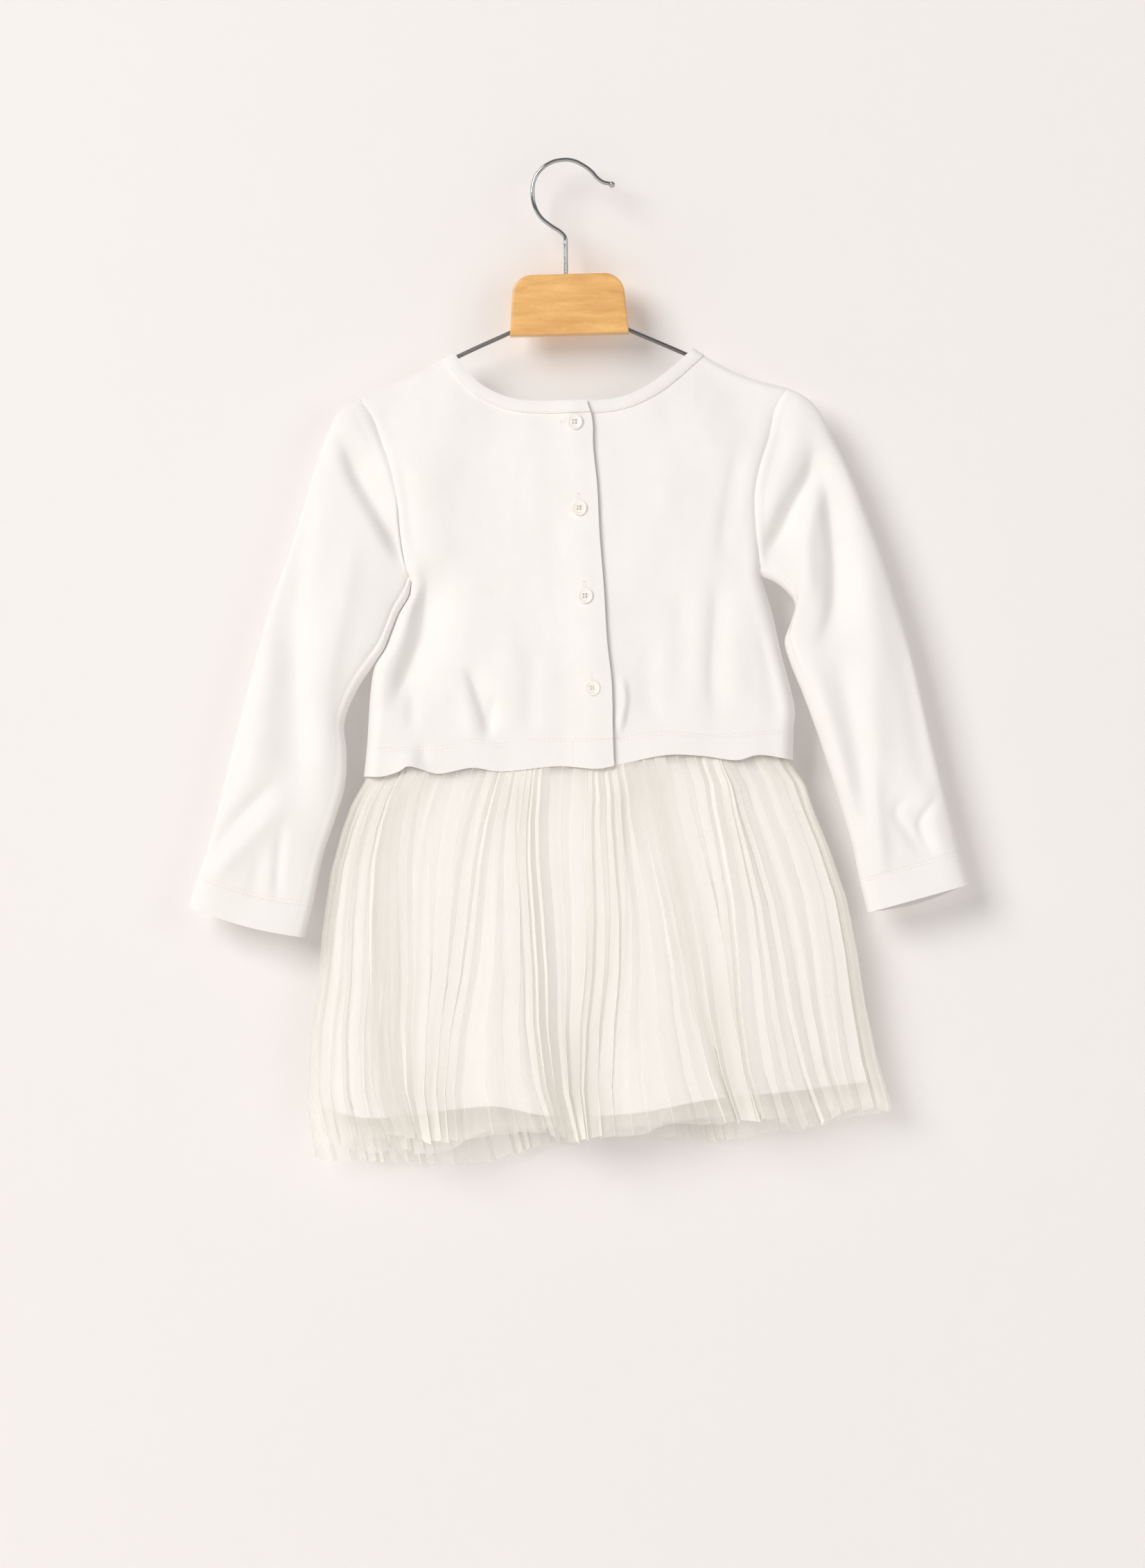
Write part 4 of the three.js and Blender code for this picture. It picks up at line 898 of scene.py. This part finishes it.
def cuff_stitches(grid, to_cuff):
    """The two twin-needle rows round a cuff, with the directions out of the cloth."""
    rows = []
    for row in (0, needle_gap):
        nearest = int(np.argmin(np.abs(to_cuff - cuff_width - row)))
        path = grid[nearest]
        out = path - (path[0] + path[half_ring]) / 2
        out[:, [0, 2]] *= 0.05
        out = unit(out)
        rows.append((path[2:] + out[2:] * jersey_wall / 2, out[2:]))
    return rows


for side, armhole, rings, crease_rows, seed in (
    ("left", left_armhole, left_rings, left_sleeve_creases, 31),
    ("right", right_armhole, right_rings, right_sleeve_creases, 47),
):
    grid, to_cuff = sleeve_rows(armhole, rings, crease_rows, seed)
    sleeve = sheet_object(f"set_in_sleeve_{side}", grid, jersey_wall, closed=True)
    finish_piece(sleeve, jersey, f"sleeve_{side}")
    stitching = stitches(f"cuff_stitching_{side}", cuff_stitches(grid, to_cuff))
    flat_area(grid, closed=True)

# ---- Skirt lining ----
# A plain, smooth off-white cloth tube sewn in at the waist. It is shorter than the net and shows
# through it as a brighter ground.
skirt_outline = np.array([
    # fall from the waist (0) to the hem (1); left and right edges; half depth; radius of the ends
    [0, -139.4, 156.8, 12.1, 8.5], [0.035, -140.4, 157.6, 12.1, 8.5],
    [0.062, -145, 162.3, 14.4, 9], [0.1, -151.2, 169.5, 14.9, 9.2],
    [0.17, -159, 176.3, 15.4, 9.6],
    [0.27, -167.2, 187.3, 16, 10], [0.42, -173.5, 200.5, 18, 10.6],
    [0.57, -177.6, 208, 19.8, 11.2], [0.71, -184.3, 213.5, 21.4, 12],
    [0.87, -187, 221.8, 23, 13], [1, -182, 231.8, 24, 14],
])
broad_folds = [
    # place across from -1 to 1, width, and how far the near and the far cloth stand out
    (-0.86, 0.08, 0.5, 1.5), (-0.62, 0.09, -1.5, 3.5), (-0.36, 0.08, 3, -2),
    (-0.10, 0.09, -1.2, 3.5), (0.16, 0.08, 3, -2.5), (0.40, 0.08, -2.5, 3.5),
    (0.66, 0.09, 3, -2), (0.88, 0.07, -1, 2),
]
skirt_tuck, waist_ease = 8 * mm, 2.2 * mm
broad_face = 0.46  # share of the way round that the near side takes, and the far side too


def skirt_loop(fall, turn, inset, short):
    """Points and outward directions round the skirt at one height; turn runs from 0 to 1."""
    left, right, depth, end = (
        np.interp(fall, skirt_outline[:, 0], skirt_outline[:, k]) * mm for k in (1, 2, 3, 4)
    )
    moved = inset * (1 + 0.6 * fall) - waist_ease * ramp(fall, 0.25, 0)
    radius = np.maximum(end - moved, 0.5 * mm)
    left, right = left + short + moved + radius, right - short - moved - radius
    middle, half = (left + right) / 2, (right - left) / 2
    bulge = depth - moved - radius
    near, far = turn < broad_face, (turn >= 0.5) & (turn < 0.5 + broad_face)
    place = np.where(near, -1 + 2 * turn / broad_face, 1 - 2 * (turn - 0.5) / broad_face)
    angle = (np.where(turn < 0.5, turn, turn - 0.5) - broad_face) / (0.5 - broad_face)
    side = np.where(turn < 0.5, -1.0, 1.0)
    on_face = near | far
    place = np.where(on_face, place, -side)
    out_x = np.where(on_face, 0, -side * np.sin(math.pi * angle))
    out_y = np.where(on_face, side, side * np.cos(math.pi * angle))
    x = middle + half * place + radius * out_x
    y = np.where(on_face, side * (radius + bulge * (1 - place**4)), radius * out_y)
    push = 0
    for centre, width, near_push, far_push in broad_folds:
        amount = np.where(y < 0, near_push, far_push) * mm
        push = push + amount * hump(place, centre, width)
    push = push * fall**1.2 * np.abs(out_y)
    return x + out_x * push, y + out_y * push, out_x, out_y


def skirt_grid(turn, inset, short, reach, hem_near, hem_far, waves):
    """A skirt layer as closed rings of points at places `turn`, with folds from `waves`."""
    fall = np.linspace(0, 1, len(turn))[:, None]
    x, y, out_x, out_y = skirt_loop(fall * reach, turn, inset, short)
    outwards, sideways, down = waves
    hem = np.where(y[-1] < 0, z_at(x[-1], hem_near), z_at(x[-1], hem_far))
    top = z_at(x[0], bodice_hem) + skirt_tuck
    z = top + (hem - top) * fall + down * fall
    across, through = out_x * outwards - out_y * sideways, out_y * outwards + out_x * sideways
    return np.stack([x + across, y + through, np.broadcast_to(z, x.shape)], axis=-1)


def wander(turn, fall, turns, drop, seed):
    """Soft uneven waves that run round the skirt without a break, from -1 to 1."""
    turn, fall = np.broadcast_arrays(turn, fall)
    radius, angle = turns / (2 * math.pi), 2 * math.pi * turn
    values = [
        noise.noise(Vector((radius * math.cos(a), radius * math.sin(a), drop * f + seed)))
        for a, f in zip(angle.ravel(), fall.ravel())
    ]
    return 2 * np.reshape(values, turn.shape)


def lining_waves(turn, hem_fold):
    """The lining hangs in slack waves, and its turned-up hem is a little thicker."""
    fall = np.linspace(0, 1, len(turn))[:, None]
    turned = 0.5 * mm * ramp(fall, 1 - 1.15 * hem_fold, 1 - hem_fold)
    slack = 1.6 * mm * wander(turn, fall, 18, 0.8, 5.5) * fall + turned
    return slack, 0 * fall, 0 * fall


def smooth_cotton(name, colour, shade):
    """Fine plain cloth."""
    make, tone, surface = new_material(name)
    at = make("TexCoord")["Object"]
    weave, blotches = (
        make("TexNoise", Vector=at, Scale=scale, Detail=2, Roughness=0.5)["Fac"]
        for scale in (600, 18))
    return surface(weave, 0.3, Base_Color=tone(blotches, shade, colour, 0.3, 0.7),
                   Roughness=0.8, Specular_IOR_Level=0.2)


lining_hem = line_through([
    [-170, -669.8], [-139.7, -675.5], [-79.4, -669.3], [-49.5, -666.9], [-10.8, -673.8],
    [47.4, -671.5], [83.3, -665.3], [106.8, -661.4], [161.5, -655.9], [212, -650],
])
white_lining = smooth_cotton("white_lining", (0.955, 0.94, 0.955), (0.945, 0.927, 0.935))
turn = np.tile(np.arange(300) / 300, (60, 1))
lining_folds = lining_waves(turn, 0.040)
lining_inset, lining_short, lining_reach, lining_wall = 7.8 * mm, 1 * mm, 0.93, 0.35 * mm
lining_grid = skirt_grid(turn, lining_inset, lining_short, lining_reach, lining_hem, lining_hem,
                         lining_folds)
lining = sheet_object("lining_tube", lining_grid, lining_wall, closed=True)
finish_piece(lining, white_lining, "skirt_lining")
flat_area(lining_grid, closed=True)

# ---- Pleated tulle ----
# Two layers of fine ivory net, permanently pleated and sewn in together at the waist. The flat
# faces between the creases fan out to the raw hem: here they bunch and overlap, there they open.
pleat_face = 9.5 * mm
pleat_columns = np.array([0, 0.02, 0.16, 0.34, 0.48, 0.5, 0.52, 0.66, 0.84, 0.98])
pressed = np.array([0.7, 0, 0, 0, 0, 1.1, 0, 0, 0, 0])
net_cover = (0.285, 0.315)  # how much the net hides, between its threads and on them
waist_openings = [
    # place across the near side from -1 to 1, width, and how far the pleats open
    (-0.58, 0.06, 1.1), (-0.10, 0.05, 1.0), (0.50, 0.04, 0.8), (0.82, 0.06, 1.0),
]
hem_openings = [
    # place round the skirt, width, and how far the pleats open
    (0.018, 0.012, 0.7), (0.088, 0.020, -0.7), (0.145, 0.016, 1.2), (0.224, 0.026, -0.7),
    (0.292, 0.026, 1.2), (0.332, 0.010, -0.9), (0.392, 0.020, 0.9), (0.470, 0.014, 0.3),
    (0.58, 0.020, 0.9), (0.64, 0.02, -0.6), (0.70, 0.026, 1), (0.77, 0.02, -0.6),
    (0.84, 0.022, 0.9), (0.980, 0.018, 0.9),
]


def finer_than(values, rounds):
    """Leaves only the part of an uneven run round the skirt that changes faster than `rounds`."""
    waves = np.fft.rfft(values)
    waves *= 1 - np.exp(-((np.arange(len(waves)) / rounds) ** 2))
    return np.fft.irfft(waves, len(values))


def pleat_places(rng, count, looseness, openings=()):
    """Where the pleats meet round the skirt, from 0 to 1, wider apart in the openings."""
    middle = (np.arange(count) + 0.5) / count
    loose = rng.normal(0, 1, count)
    spring = looseness * (0.6 * loose + 0.6 * np.roll(loose, 1) + 0.4 * np.roll(loose, 2))
    for centre, width, amount in openings:
        away = np.abs((middle - centre + 0.5) % 1 - 0.5)
        spring = spring + amount * hump(away, 0, width)
    places = np.cumsum(np.exp(spring))
    places /= places[-1]
    even = (np.arange(count) + 1) / count
    places = even + finer_than(places - even, 3.5)
    return np.r_[places[-1] - 1, places]


def pleats(count, rows, seed):
    """Places, folds and hem steps of one pleated layer, for skirt_grid."""
    rng = np.random.default_rng(seed)
    share = np.tile(pleat_columns, count)[None, :]
    number = np.repeat(np.arange(count), len(pleat_columns))
    fall = np.linspace(0, 1, rows)[:, None]
    at_waist = pleat_places(rng, count, 0.36, [
        (broad_face * (1 + place) / 2, broad_face * width / 2, amount)
        for place, width, amount in waist_openings])
    between = pleat_places(rng, count, 0.30)
    at_hem = pleat_places(rng, count, 0.34, hem_openings)
    straight = at_waist + (at_hem - at_waist) * fall
    edges = straight + (between - (at_waist + at_hem) / 2) * 1.4 * fall * (1 - fall)
    pitch = np.diff(edges, axis=1)[:, number]
    turn = edges[:, number] + pitch * share
    loop = (0.62 + 0.25 * fall) * pitch
    hat = 1 - 2 * np.abs(share - 0.5)
    slack = np.sqrt(np.maximum(pleat_face**2 - (loop / 2) ** 2, (0.2 * pleat_face) ** 2))
    tall = rng.uniform(0.7, 1.2, count)[number]
    depth = np.minimum(slack, (0.9 + 0.9 * ramp(fall, 0.02, 0.14) + 1.9 * fall) * mm) * tall
    lean = rng.normal(0, 1, (2, count))
    lean = np.clip(0.7 * lean + 0.7 * np.roll(lean, 1, axis=1), -1.6, 1.6)
    lean = (4.2 * lean[0, number] + 5.0 * lean[1, number] * (fall - 0.5)) * mm
    lean = lean * np.clip(1.8 - loop / (12 * mm), 0.1, 1)
    # The steeper a face stands and the narrower its pleat, the closer its threads seem.
    reach = loop / 2 + np.where(share < 0.5, lean, -lean)
    closeness = np.clip(np.hypot(reach, depth) / np.maximum(np.abs(reach), mm), 1, 2.6)
    closeness = closeness * (10.0 * mm / loop) ** 0.9 * (1 + 0.9 * ramp(fall, 0.16, 0))
    closeness = np.clip(closeness, 1.0, 2.7) + np.tile(pressed, count)
    curl = rng.uniform(-0.5, 0.5, 2 * count)[2 * number + (share[0] >= 0.5)] * mm
    drop = rng.uniform(-1.7, 1.7, count)[number] * mm
    slant = rng.choice([-1, 1], count)[number] * 1.3 * mm
    bow = curl * np.sin(2 * math.pi * share) ** 2
    outwards = depth * (hat - 0.5) + bow * (0.4 + 0.6 * fall)
    outwards = outwards + 2.0 * mm * wander(turn, fall, 22, 0.5, 3) * ramp(fall, 0.02, 0.9)
    sideways = lean * hat * (0.6 + 0.4 * fall)
    return turn % 1, (outwards, sideways, drop + slant * (hat - 0.5)), closeness


def net(name, colour, shade):
    """Ivory tulle: fine threads that cross, with light showing between them."""
    make, tone, surface = new_material(name)
    at = make("TexCoord")
    across, down = (
        make("TexWave", Vector=at["UV"], bands_direction=way, wave_profile="SIN",
             Scale=2 * math.pi / (20 * pitch), Distortion=0)["Fac"]
        for way, pitch in (("X", 0.9 * mm), ("Y", 1.1 * mm)))
    threads = make("Math", across, down, operation="MAXIMUM")[0]
    cover = make("MapRange", threads, 0.25, 1.0, *net_cover)["Result"]
    # The net is drawn closer in streaks that run down the pleats.
    drawn = make("Mapping", Vector=at["UV"], Scale=(200, 3, 1))["Vector"]
    streaks = make("TexNoise", Vector=drawn, Scale=1, Detail=2, Roughness=0.6)["Fac"]
    closer = make("MapRange", streaks, 0.3, 0.7, 0.97, 1.03)["Result"]
    cover = make("Math", cover, closer, operation="MULTIPLY")[0]
    closeness = make("Attribute", attribute_name="closeness")["Fac"]
    seen = make("Math", closeness, cover, operation="MULTIPLY", use_clamp=True)[0]
    # The threads scatter light on through the net, so its shadow is weaker than its cover.
    in_shadow = make("LightPath")["Is Shadow Ray"]
    kept = make("MapRange", in_shadow, To_Min=1.0, To_Max=0.55)["Result"]
    blotches = make("TexNoise", Vector=at["Object"], Scale=30, Detail=3, Roughness=0.6)["Fac"]
    return surface(Alpha=make("Math", seen, kept, operation="MULTIPLY")[0],
                   Base_Color=tone(blotches, shade, colour, 0.3, 0.7), Roughness=0.75,
                   Specular_IOR_Level=0.25)


ivory_net = net("ivory_tulle", (0.948, 0.922, 0.868), (0.93, 0.9, 0.836))
outer_hem_near = line_through([
    [-182, -694], [-122.5, -695.8], [-121, -687.5], [-91.8, -691.9], [-49.5, -688],
    [-21.6, -685.5], [12.7, -690.4], [27, -687], [47.4, -687], [70.9, -680.1],
    [101.9, -679.4], [155, -677.7], [157.6, -684], [179.3, -678.7], [198.2, -670.8],
    [231.8, -668.4],
])
outer_hem_far = line_through([
    [-182, -700], [-174.6, -704.4], [-134, -708.3], [-102.9, -709.5], [-52.9, -708.3],
    [-26.2, -698.7], [14.2, -691.9], [40.7, -688.9], [70.9, -691.9], [109.8, -692.9],
    [156.8, -686.4], [188.1, -680.1], [231.8, -670],
])
inner_hem = line_through([
    [-180, -690], [-122, -692], [-120.5, -697], [-80, -697], [-60, -685.5],
    [0, -683], [60, -679.5], [100, -675.5], [150, -674], [229, -665],
])
for name, node, count, inset, short, near, far, seed in (
    ("outer_net", "skirt_tulle_outer", 74, 1.6 * mm, 0, outer_hem_near, outer_hem_far, 2),
    ("inner_net", "skirt_tulle_inner", 66, 4.6 * mm, 2 * mm, inner_hem, inner_hem, 19),
):
    turn, waves, closeness = pleats(count, 48, seed)
    grid = skirt_grid(turn, inset, short, 1.0, near, far, waves)
    layer = sheet_object(name, grid, closed=True, crease=180, pleated=True)
    edges = np.zeros(2 * len(layer.data.edges), int)
    layer.data.edges.foreach_get("vertices", edges)
    first, second = (edges % grid.shape[1]).reshape(-1, 2).T
    folded = (first == second) & (first % (len(pleat_columns) // 2) == 0)
    layer.data.attributes.new("sharp_edge", "BOOLEAN", "EDGE").data.foreach_set("value", folded)
    threads = layer.data.attributes.new("closeness", "FLOAT", "POINT")
    threads.data.foreach_set("value", closeness.ravel())
    finish_piece(layer, ivory_net, node)
    flat_area(grid, closed=True)

# ---- Hanger block ----
# A flat block of pale hardwood under clear satin lacquer. Its sides taper to rounded top corners,
# its edges are eased, and the hook and both arms are driven into it.
low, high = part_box("hanger_block")
block_depth, block_tilt = high.y - low.y, math.radians(1.5)
block_foot, block_head, block_height, corner = 84 * mm, 77 * mm, 42.8 * mm, 13 * mm
block_centre = Vector(((low.x + high.x) / 2, 0, (low.z + high.z) / 2))
bpy.ops.object.select_all(action="DESELECT")
bpy.ops.mesh.primitive_cube_add(size=1, scale=(block_foot, block_depth, block_height))
block = start_piece("wooden_block")
select_parts(block, "FACE", lambda centre, normal: normal.z > 0.9)
bpy.ops.transform.resize(value=(block_head / block_foot, 1, 1))
bpy.ops.object.mode_set(mode="OBJECT")
half_high, half_deep = block_height / 2, block_depth / 2
for wanted, width, segments, profile in (
    # the two round top corners, then the edges of both faces, then the two lower corners
    (lambda a, b: min(a.z, b.z) > 0.9 * half_high and abs(a.y - b.y) > half_deep, corner, 12, 0.5),
    (lambda a, b: abs(a.y - b.y) < 1e-5 and abs(a.y) > 0.8 * half_deep, 1.7 * mm, 4, 0.6),
    (lambda a, b: max(a.z, b.z) < -0.95 * half_high and abs(a.y - b.y) > half_deep, 1.2 * mm, 3,
     0.5),
):
    select_parts(block, "EDGE", wanted)
    bpy.ops.mesh.bevel(offset=width, offset_type="OFFSET", segments=segments, profile=profile,
                       affect="EDGES")
bpy.ops.mesh.select_all(action="SELECT")
bpy.ops.transform.rotate(value=block_tilt, orient_axis="Y", center_override=(0, 0, 0))
bpy.ops.transform.translate(value=block_centre)
bpy.ops.object.mode_set(mode="OBJECT")
bpy.ops.object.shade_smooth_by_angle(angle=math.radians(35))


def lacquered_wood(name):
    """Honey-coloured beech: long faint grain and short dark flecks, under satin lacquer."""
    make, tone, surface = new_material(name)
    at = make("TexCoord")["Object"]
    along_grain, along_flecks = (
        make("Mapping", Vector=at, Rotation=(0, -block_tilt, 0), Scale=scale)["Vector"]
        for scale in ((18, 60, 110), (260, 700, 1500)))
    grain = make("TexNoise", Vector=along_grain, Scale=1.6, Detail=5, Roughness=0.6,
                 Distortion=0.4)["Fac"]
    honey = tone(grain, (0.74, 0.375, 0.120), (0.92, 0.55, 0.20), 0.34, 0.70)
    fleck = make("TexNoise", Vector=along_flecks, Scale=1.0, Detail=1, Roughness=0.4)["Fac"]
    flecked = tone(fleck, (0, 0, 0), (1, 1, 1), 0.62, 0.72)
    weight = make("Math", flecked, 0.18, operation="MULTIPLY")[0]
    # The two colours are the seventh and eighth sockets of the node.
    mixed = make("Mix", weight, *[None] * 5, honey, (0.50, 0.24, 0.08, 1), data_type="RGBA")[2]
    return surface(grain, 0.15, 0.2 * mm, Base_Color=mixed, Roughness=0.38, Coat_Weight=0.3,
                   Coat_Roughness=0.2)


finish_piece(block, lacquered_wood("lacquered_beech"), "hanger_block")

# ---- Hanger arms ----
# Two straight rods of dull grey steel wire that slope down from the block inside the shoulders.


def drawn_steel(name, colour, roughness, streak):
    """Round metal wire with the fine streaks of drawing along it."""
    make, tone, surface = new_material(name)
    streaks = make("TexNoise", Vector=make("TexCoord")["Object"], Scale=900, Detail=3,
                   Roughness=0.6)["Fac"]
    streaked = tone(streaks, [c * (1 - streak) for c in colour], colour)
    return surface(streaks, 0.1, Base_Color=streaked, Metallic=1.0, Roughness=roughness)


grey_steel = drawn_steel("grey_steel", (0.30, 0.285, 0.27), 0.30, 0.25)


def from_block(name, places, steps, sides):
    """Hanger wire through places x and z, begun in its socket in the block."""
    wire_radius, socket = 1.5 * mm, 12 * mm
    points = [Vector((x * mm, 0, z * mm)) for x, z in places]
    points.insert(0, points[0] + (points[0] - points[1]).normalized() * socket)
    return wire(name, points, wire_radius, steps, sides=sides)


for side, places in (
    ("left", [(-41.0, -121.3), (-77.4, -138.0), (-111.7, -155.8), (-141.0, -168.6)]),
    ("right", [(44.2, -118.7), (83.3, -135.4), (116.0, -150.3), (150.0, -164.0)]),
):
    arm = from_block(f"steel_arm_{side}", places, 12, 5)
    finish_piece(arm, grey_steel, f"hanger_arm_{side}")

# ---- Hanger hook ----
# One bright chromed wire, bent in a wide open hook above a short stem. A small ball closes its tip.
hook_places = [
    (-0.2, -79.6), (-0.3, -68), (-0.4, -58), (-0.7, -53.6), (-2.9, -50.5), (-11.8, -44.3),
    (-17.8, -39.2), (-21.9, -32.3), (-23.8, -23.3), (-22.8, -13.2), (-18.8, -6.4), (-11.8, -0.8),
    (-3.9, 1.5), (4.2, 1.2), (12.2, -2.4), (18.1, -6.9), (22, -11.3), (26.2, -14.2),
    (30.2, -15.2), (32.3, -15.9),
]
hook = from_block("chromed_hook", hook_places, 10, 7)
tip = (hook_places[-1][0] * mm, 0, hook_places[-1][1] * mm)
bpy.ops.mesh.primitive_uv_sphere_add(segments=32, ring_count=20, radius=2.3 * mm, location=tip)
ball = start_piece("hook_ball")
bpy.ops.object.shade_smooth()
only(hook)
ball.select_set(True)
bpy.ops.object.join()
bright_chrome = drawn_steel("bright_chrome", (0.50, 0.505, 0.51), 0.08, 0.04)
finish_piece(hook, bright_chrome, "hanger_hook")

# ---- Stage ----
# A pale wall close behind the dress and a pale floor well below it, lit by one large soft lamp high
# on the left, a weak one on the right, and an even pale surround. Lamps behind light the far side.


def painted(name, colour, shade):
    """Matt pale paint."""
    make, tone, surface = new_material(name)
    mottle = make("TexNoise", Vector=make("TexCoord")["Object"], Scale=3, Detail=4,
                  Roughness=0.6)["Fac"]
    return surface(Base_Color=tone(mottle, shade, colour), Roughness=0.9,
                   Specular_IOR_Level=0.1), make


wall_gap, floor_drop, room = 0.002, 0.34, 8.0
wall_y = cad_box[1][1] + wall_gap
floor_z = cad_box[0][2] - floor_drop
bpy.ops.mesh.primitive_plane_add(size=room, location=(0, wall_y, floor_z + room / 2),
                                 rotation=(math.pi / 2, 0, 0))
wall = start_piece("wall")
bpy.ops.mesh.primitive_plane_add(size=room, location=(0, 0, floor_z))
floor = start_piece("floor")
paint, make = painted("wall_paint", (0.892, 0.865, 0.853), (0.884, 0.857, 0.845))
# From behind, the wall is clear, so that the far side of the dress can be seen.
matt, output = (paint.node_tree.nodes[name] for name in ("Principled BSDF", "Material Output"))
one_sided = make("MixShader", make("NewGeometry")["Backfacing"], matt.outputs[0],
                 make("BsdfTransparent")[0])
paint.node_tree.links.new(one_sided[0], output.inputs["Surface"])
wall.data.materials.append(paint)
wall.visible_shadow = False
floor.data.materials.append(painted("floor_paint", (0.86, 0.845, 0.83), (0.84, 0.825, 0.81))[0])
middle = Vector((0, 0, -0.4))
for name, place, size, power, colour in (
    ("key_lamp", (-3.6, -4.6, 2.2), 3.2, 264, (1.0, 0.985, 0.97)),
    ("fill_lamp", (1.9, -2.2, 0.0), 1.6, 13, (1.0, 0.99, 0.98)),
    ("far_lamp", (0.6, 2.2, 0.8), 1.8, 26, (1.0, 0.99, 0.98)),
):
    lamp = bpy.data.lights.new(name, "AREA")
    lamp.size, lamp.energy, lamp.color = size, power, colour
    holder = bpy.data.objects.new(name, lamp)
    holder.location = place
    holder.rotation_euler = (middle - Vector(place)).to_track_quat("-Z", "Y").to_euler()
    holder.visible_camera = False
    bpy.context.collection.objects.link(holder)
surround = bpy.data.worlds.new("surround")
surround.use_nodes = True
background = surround.node_tree.nodes["Background"]
background.inputs["Color"].default_value = (1.0, 0.985, 0.97, 1)
background.inputs["Strength"].default_value = 0.25
bpy.context.scene.world = surround
bpy.context.scene.view_settings.view_transform = "Standard"
bpy.context.scene.cycles.transparent_max_bounces = 32
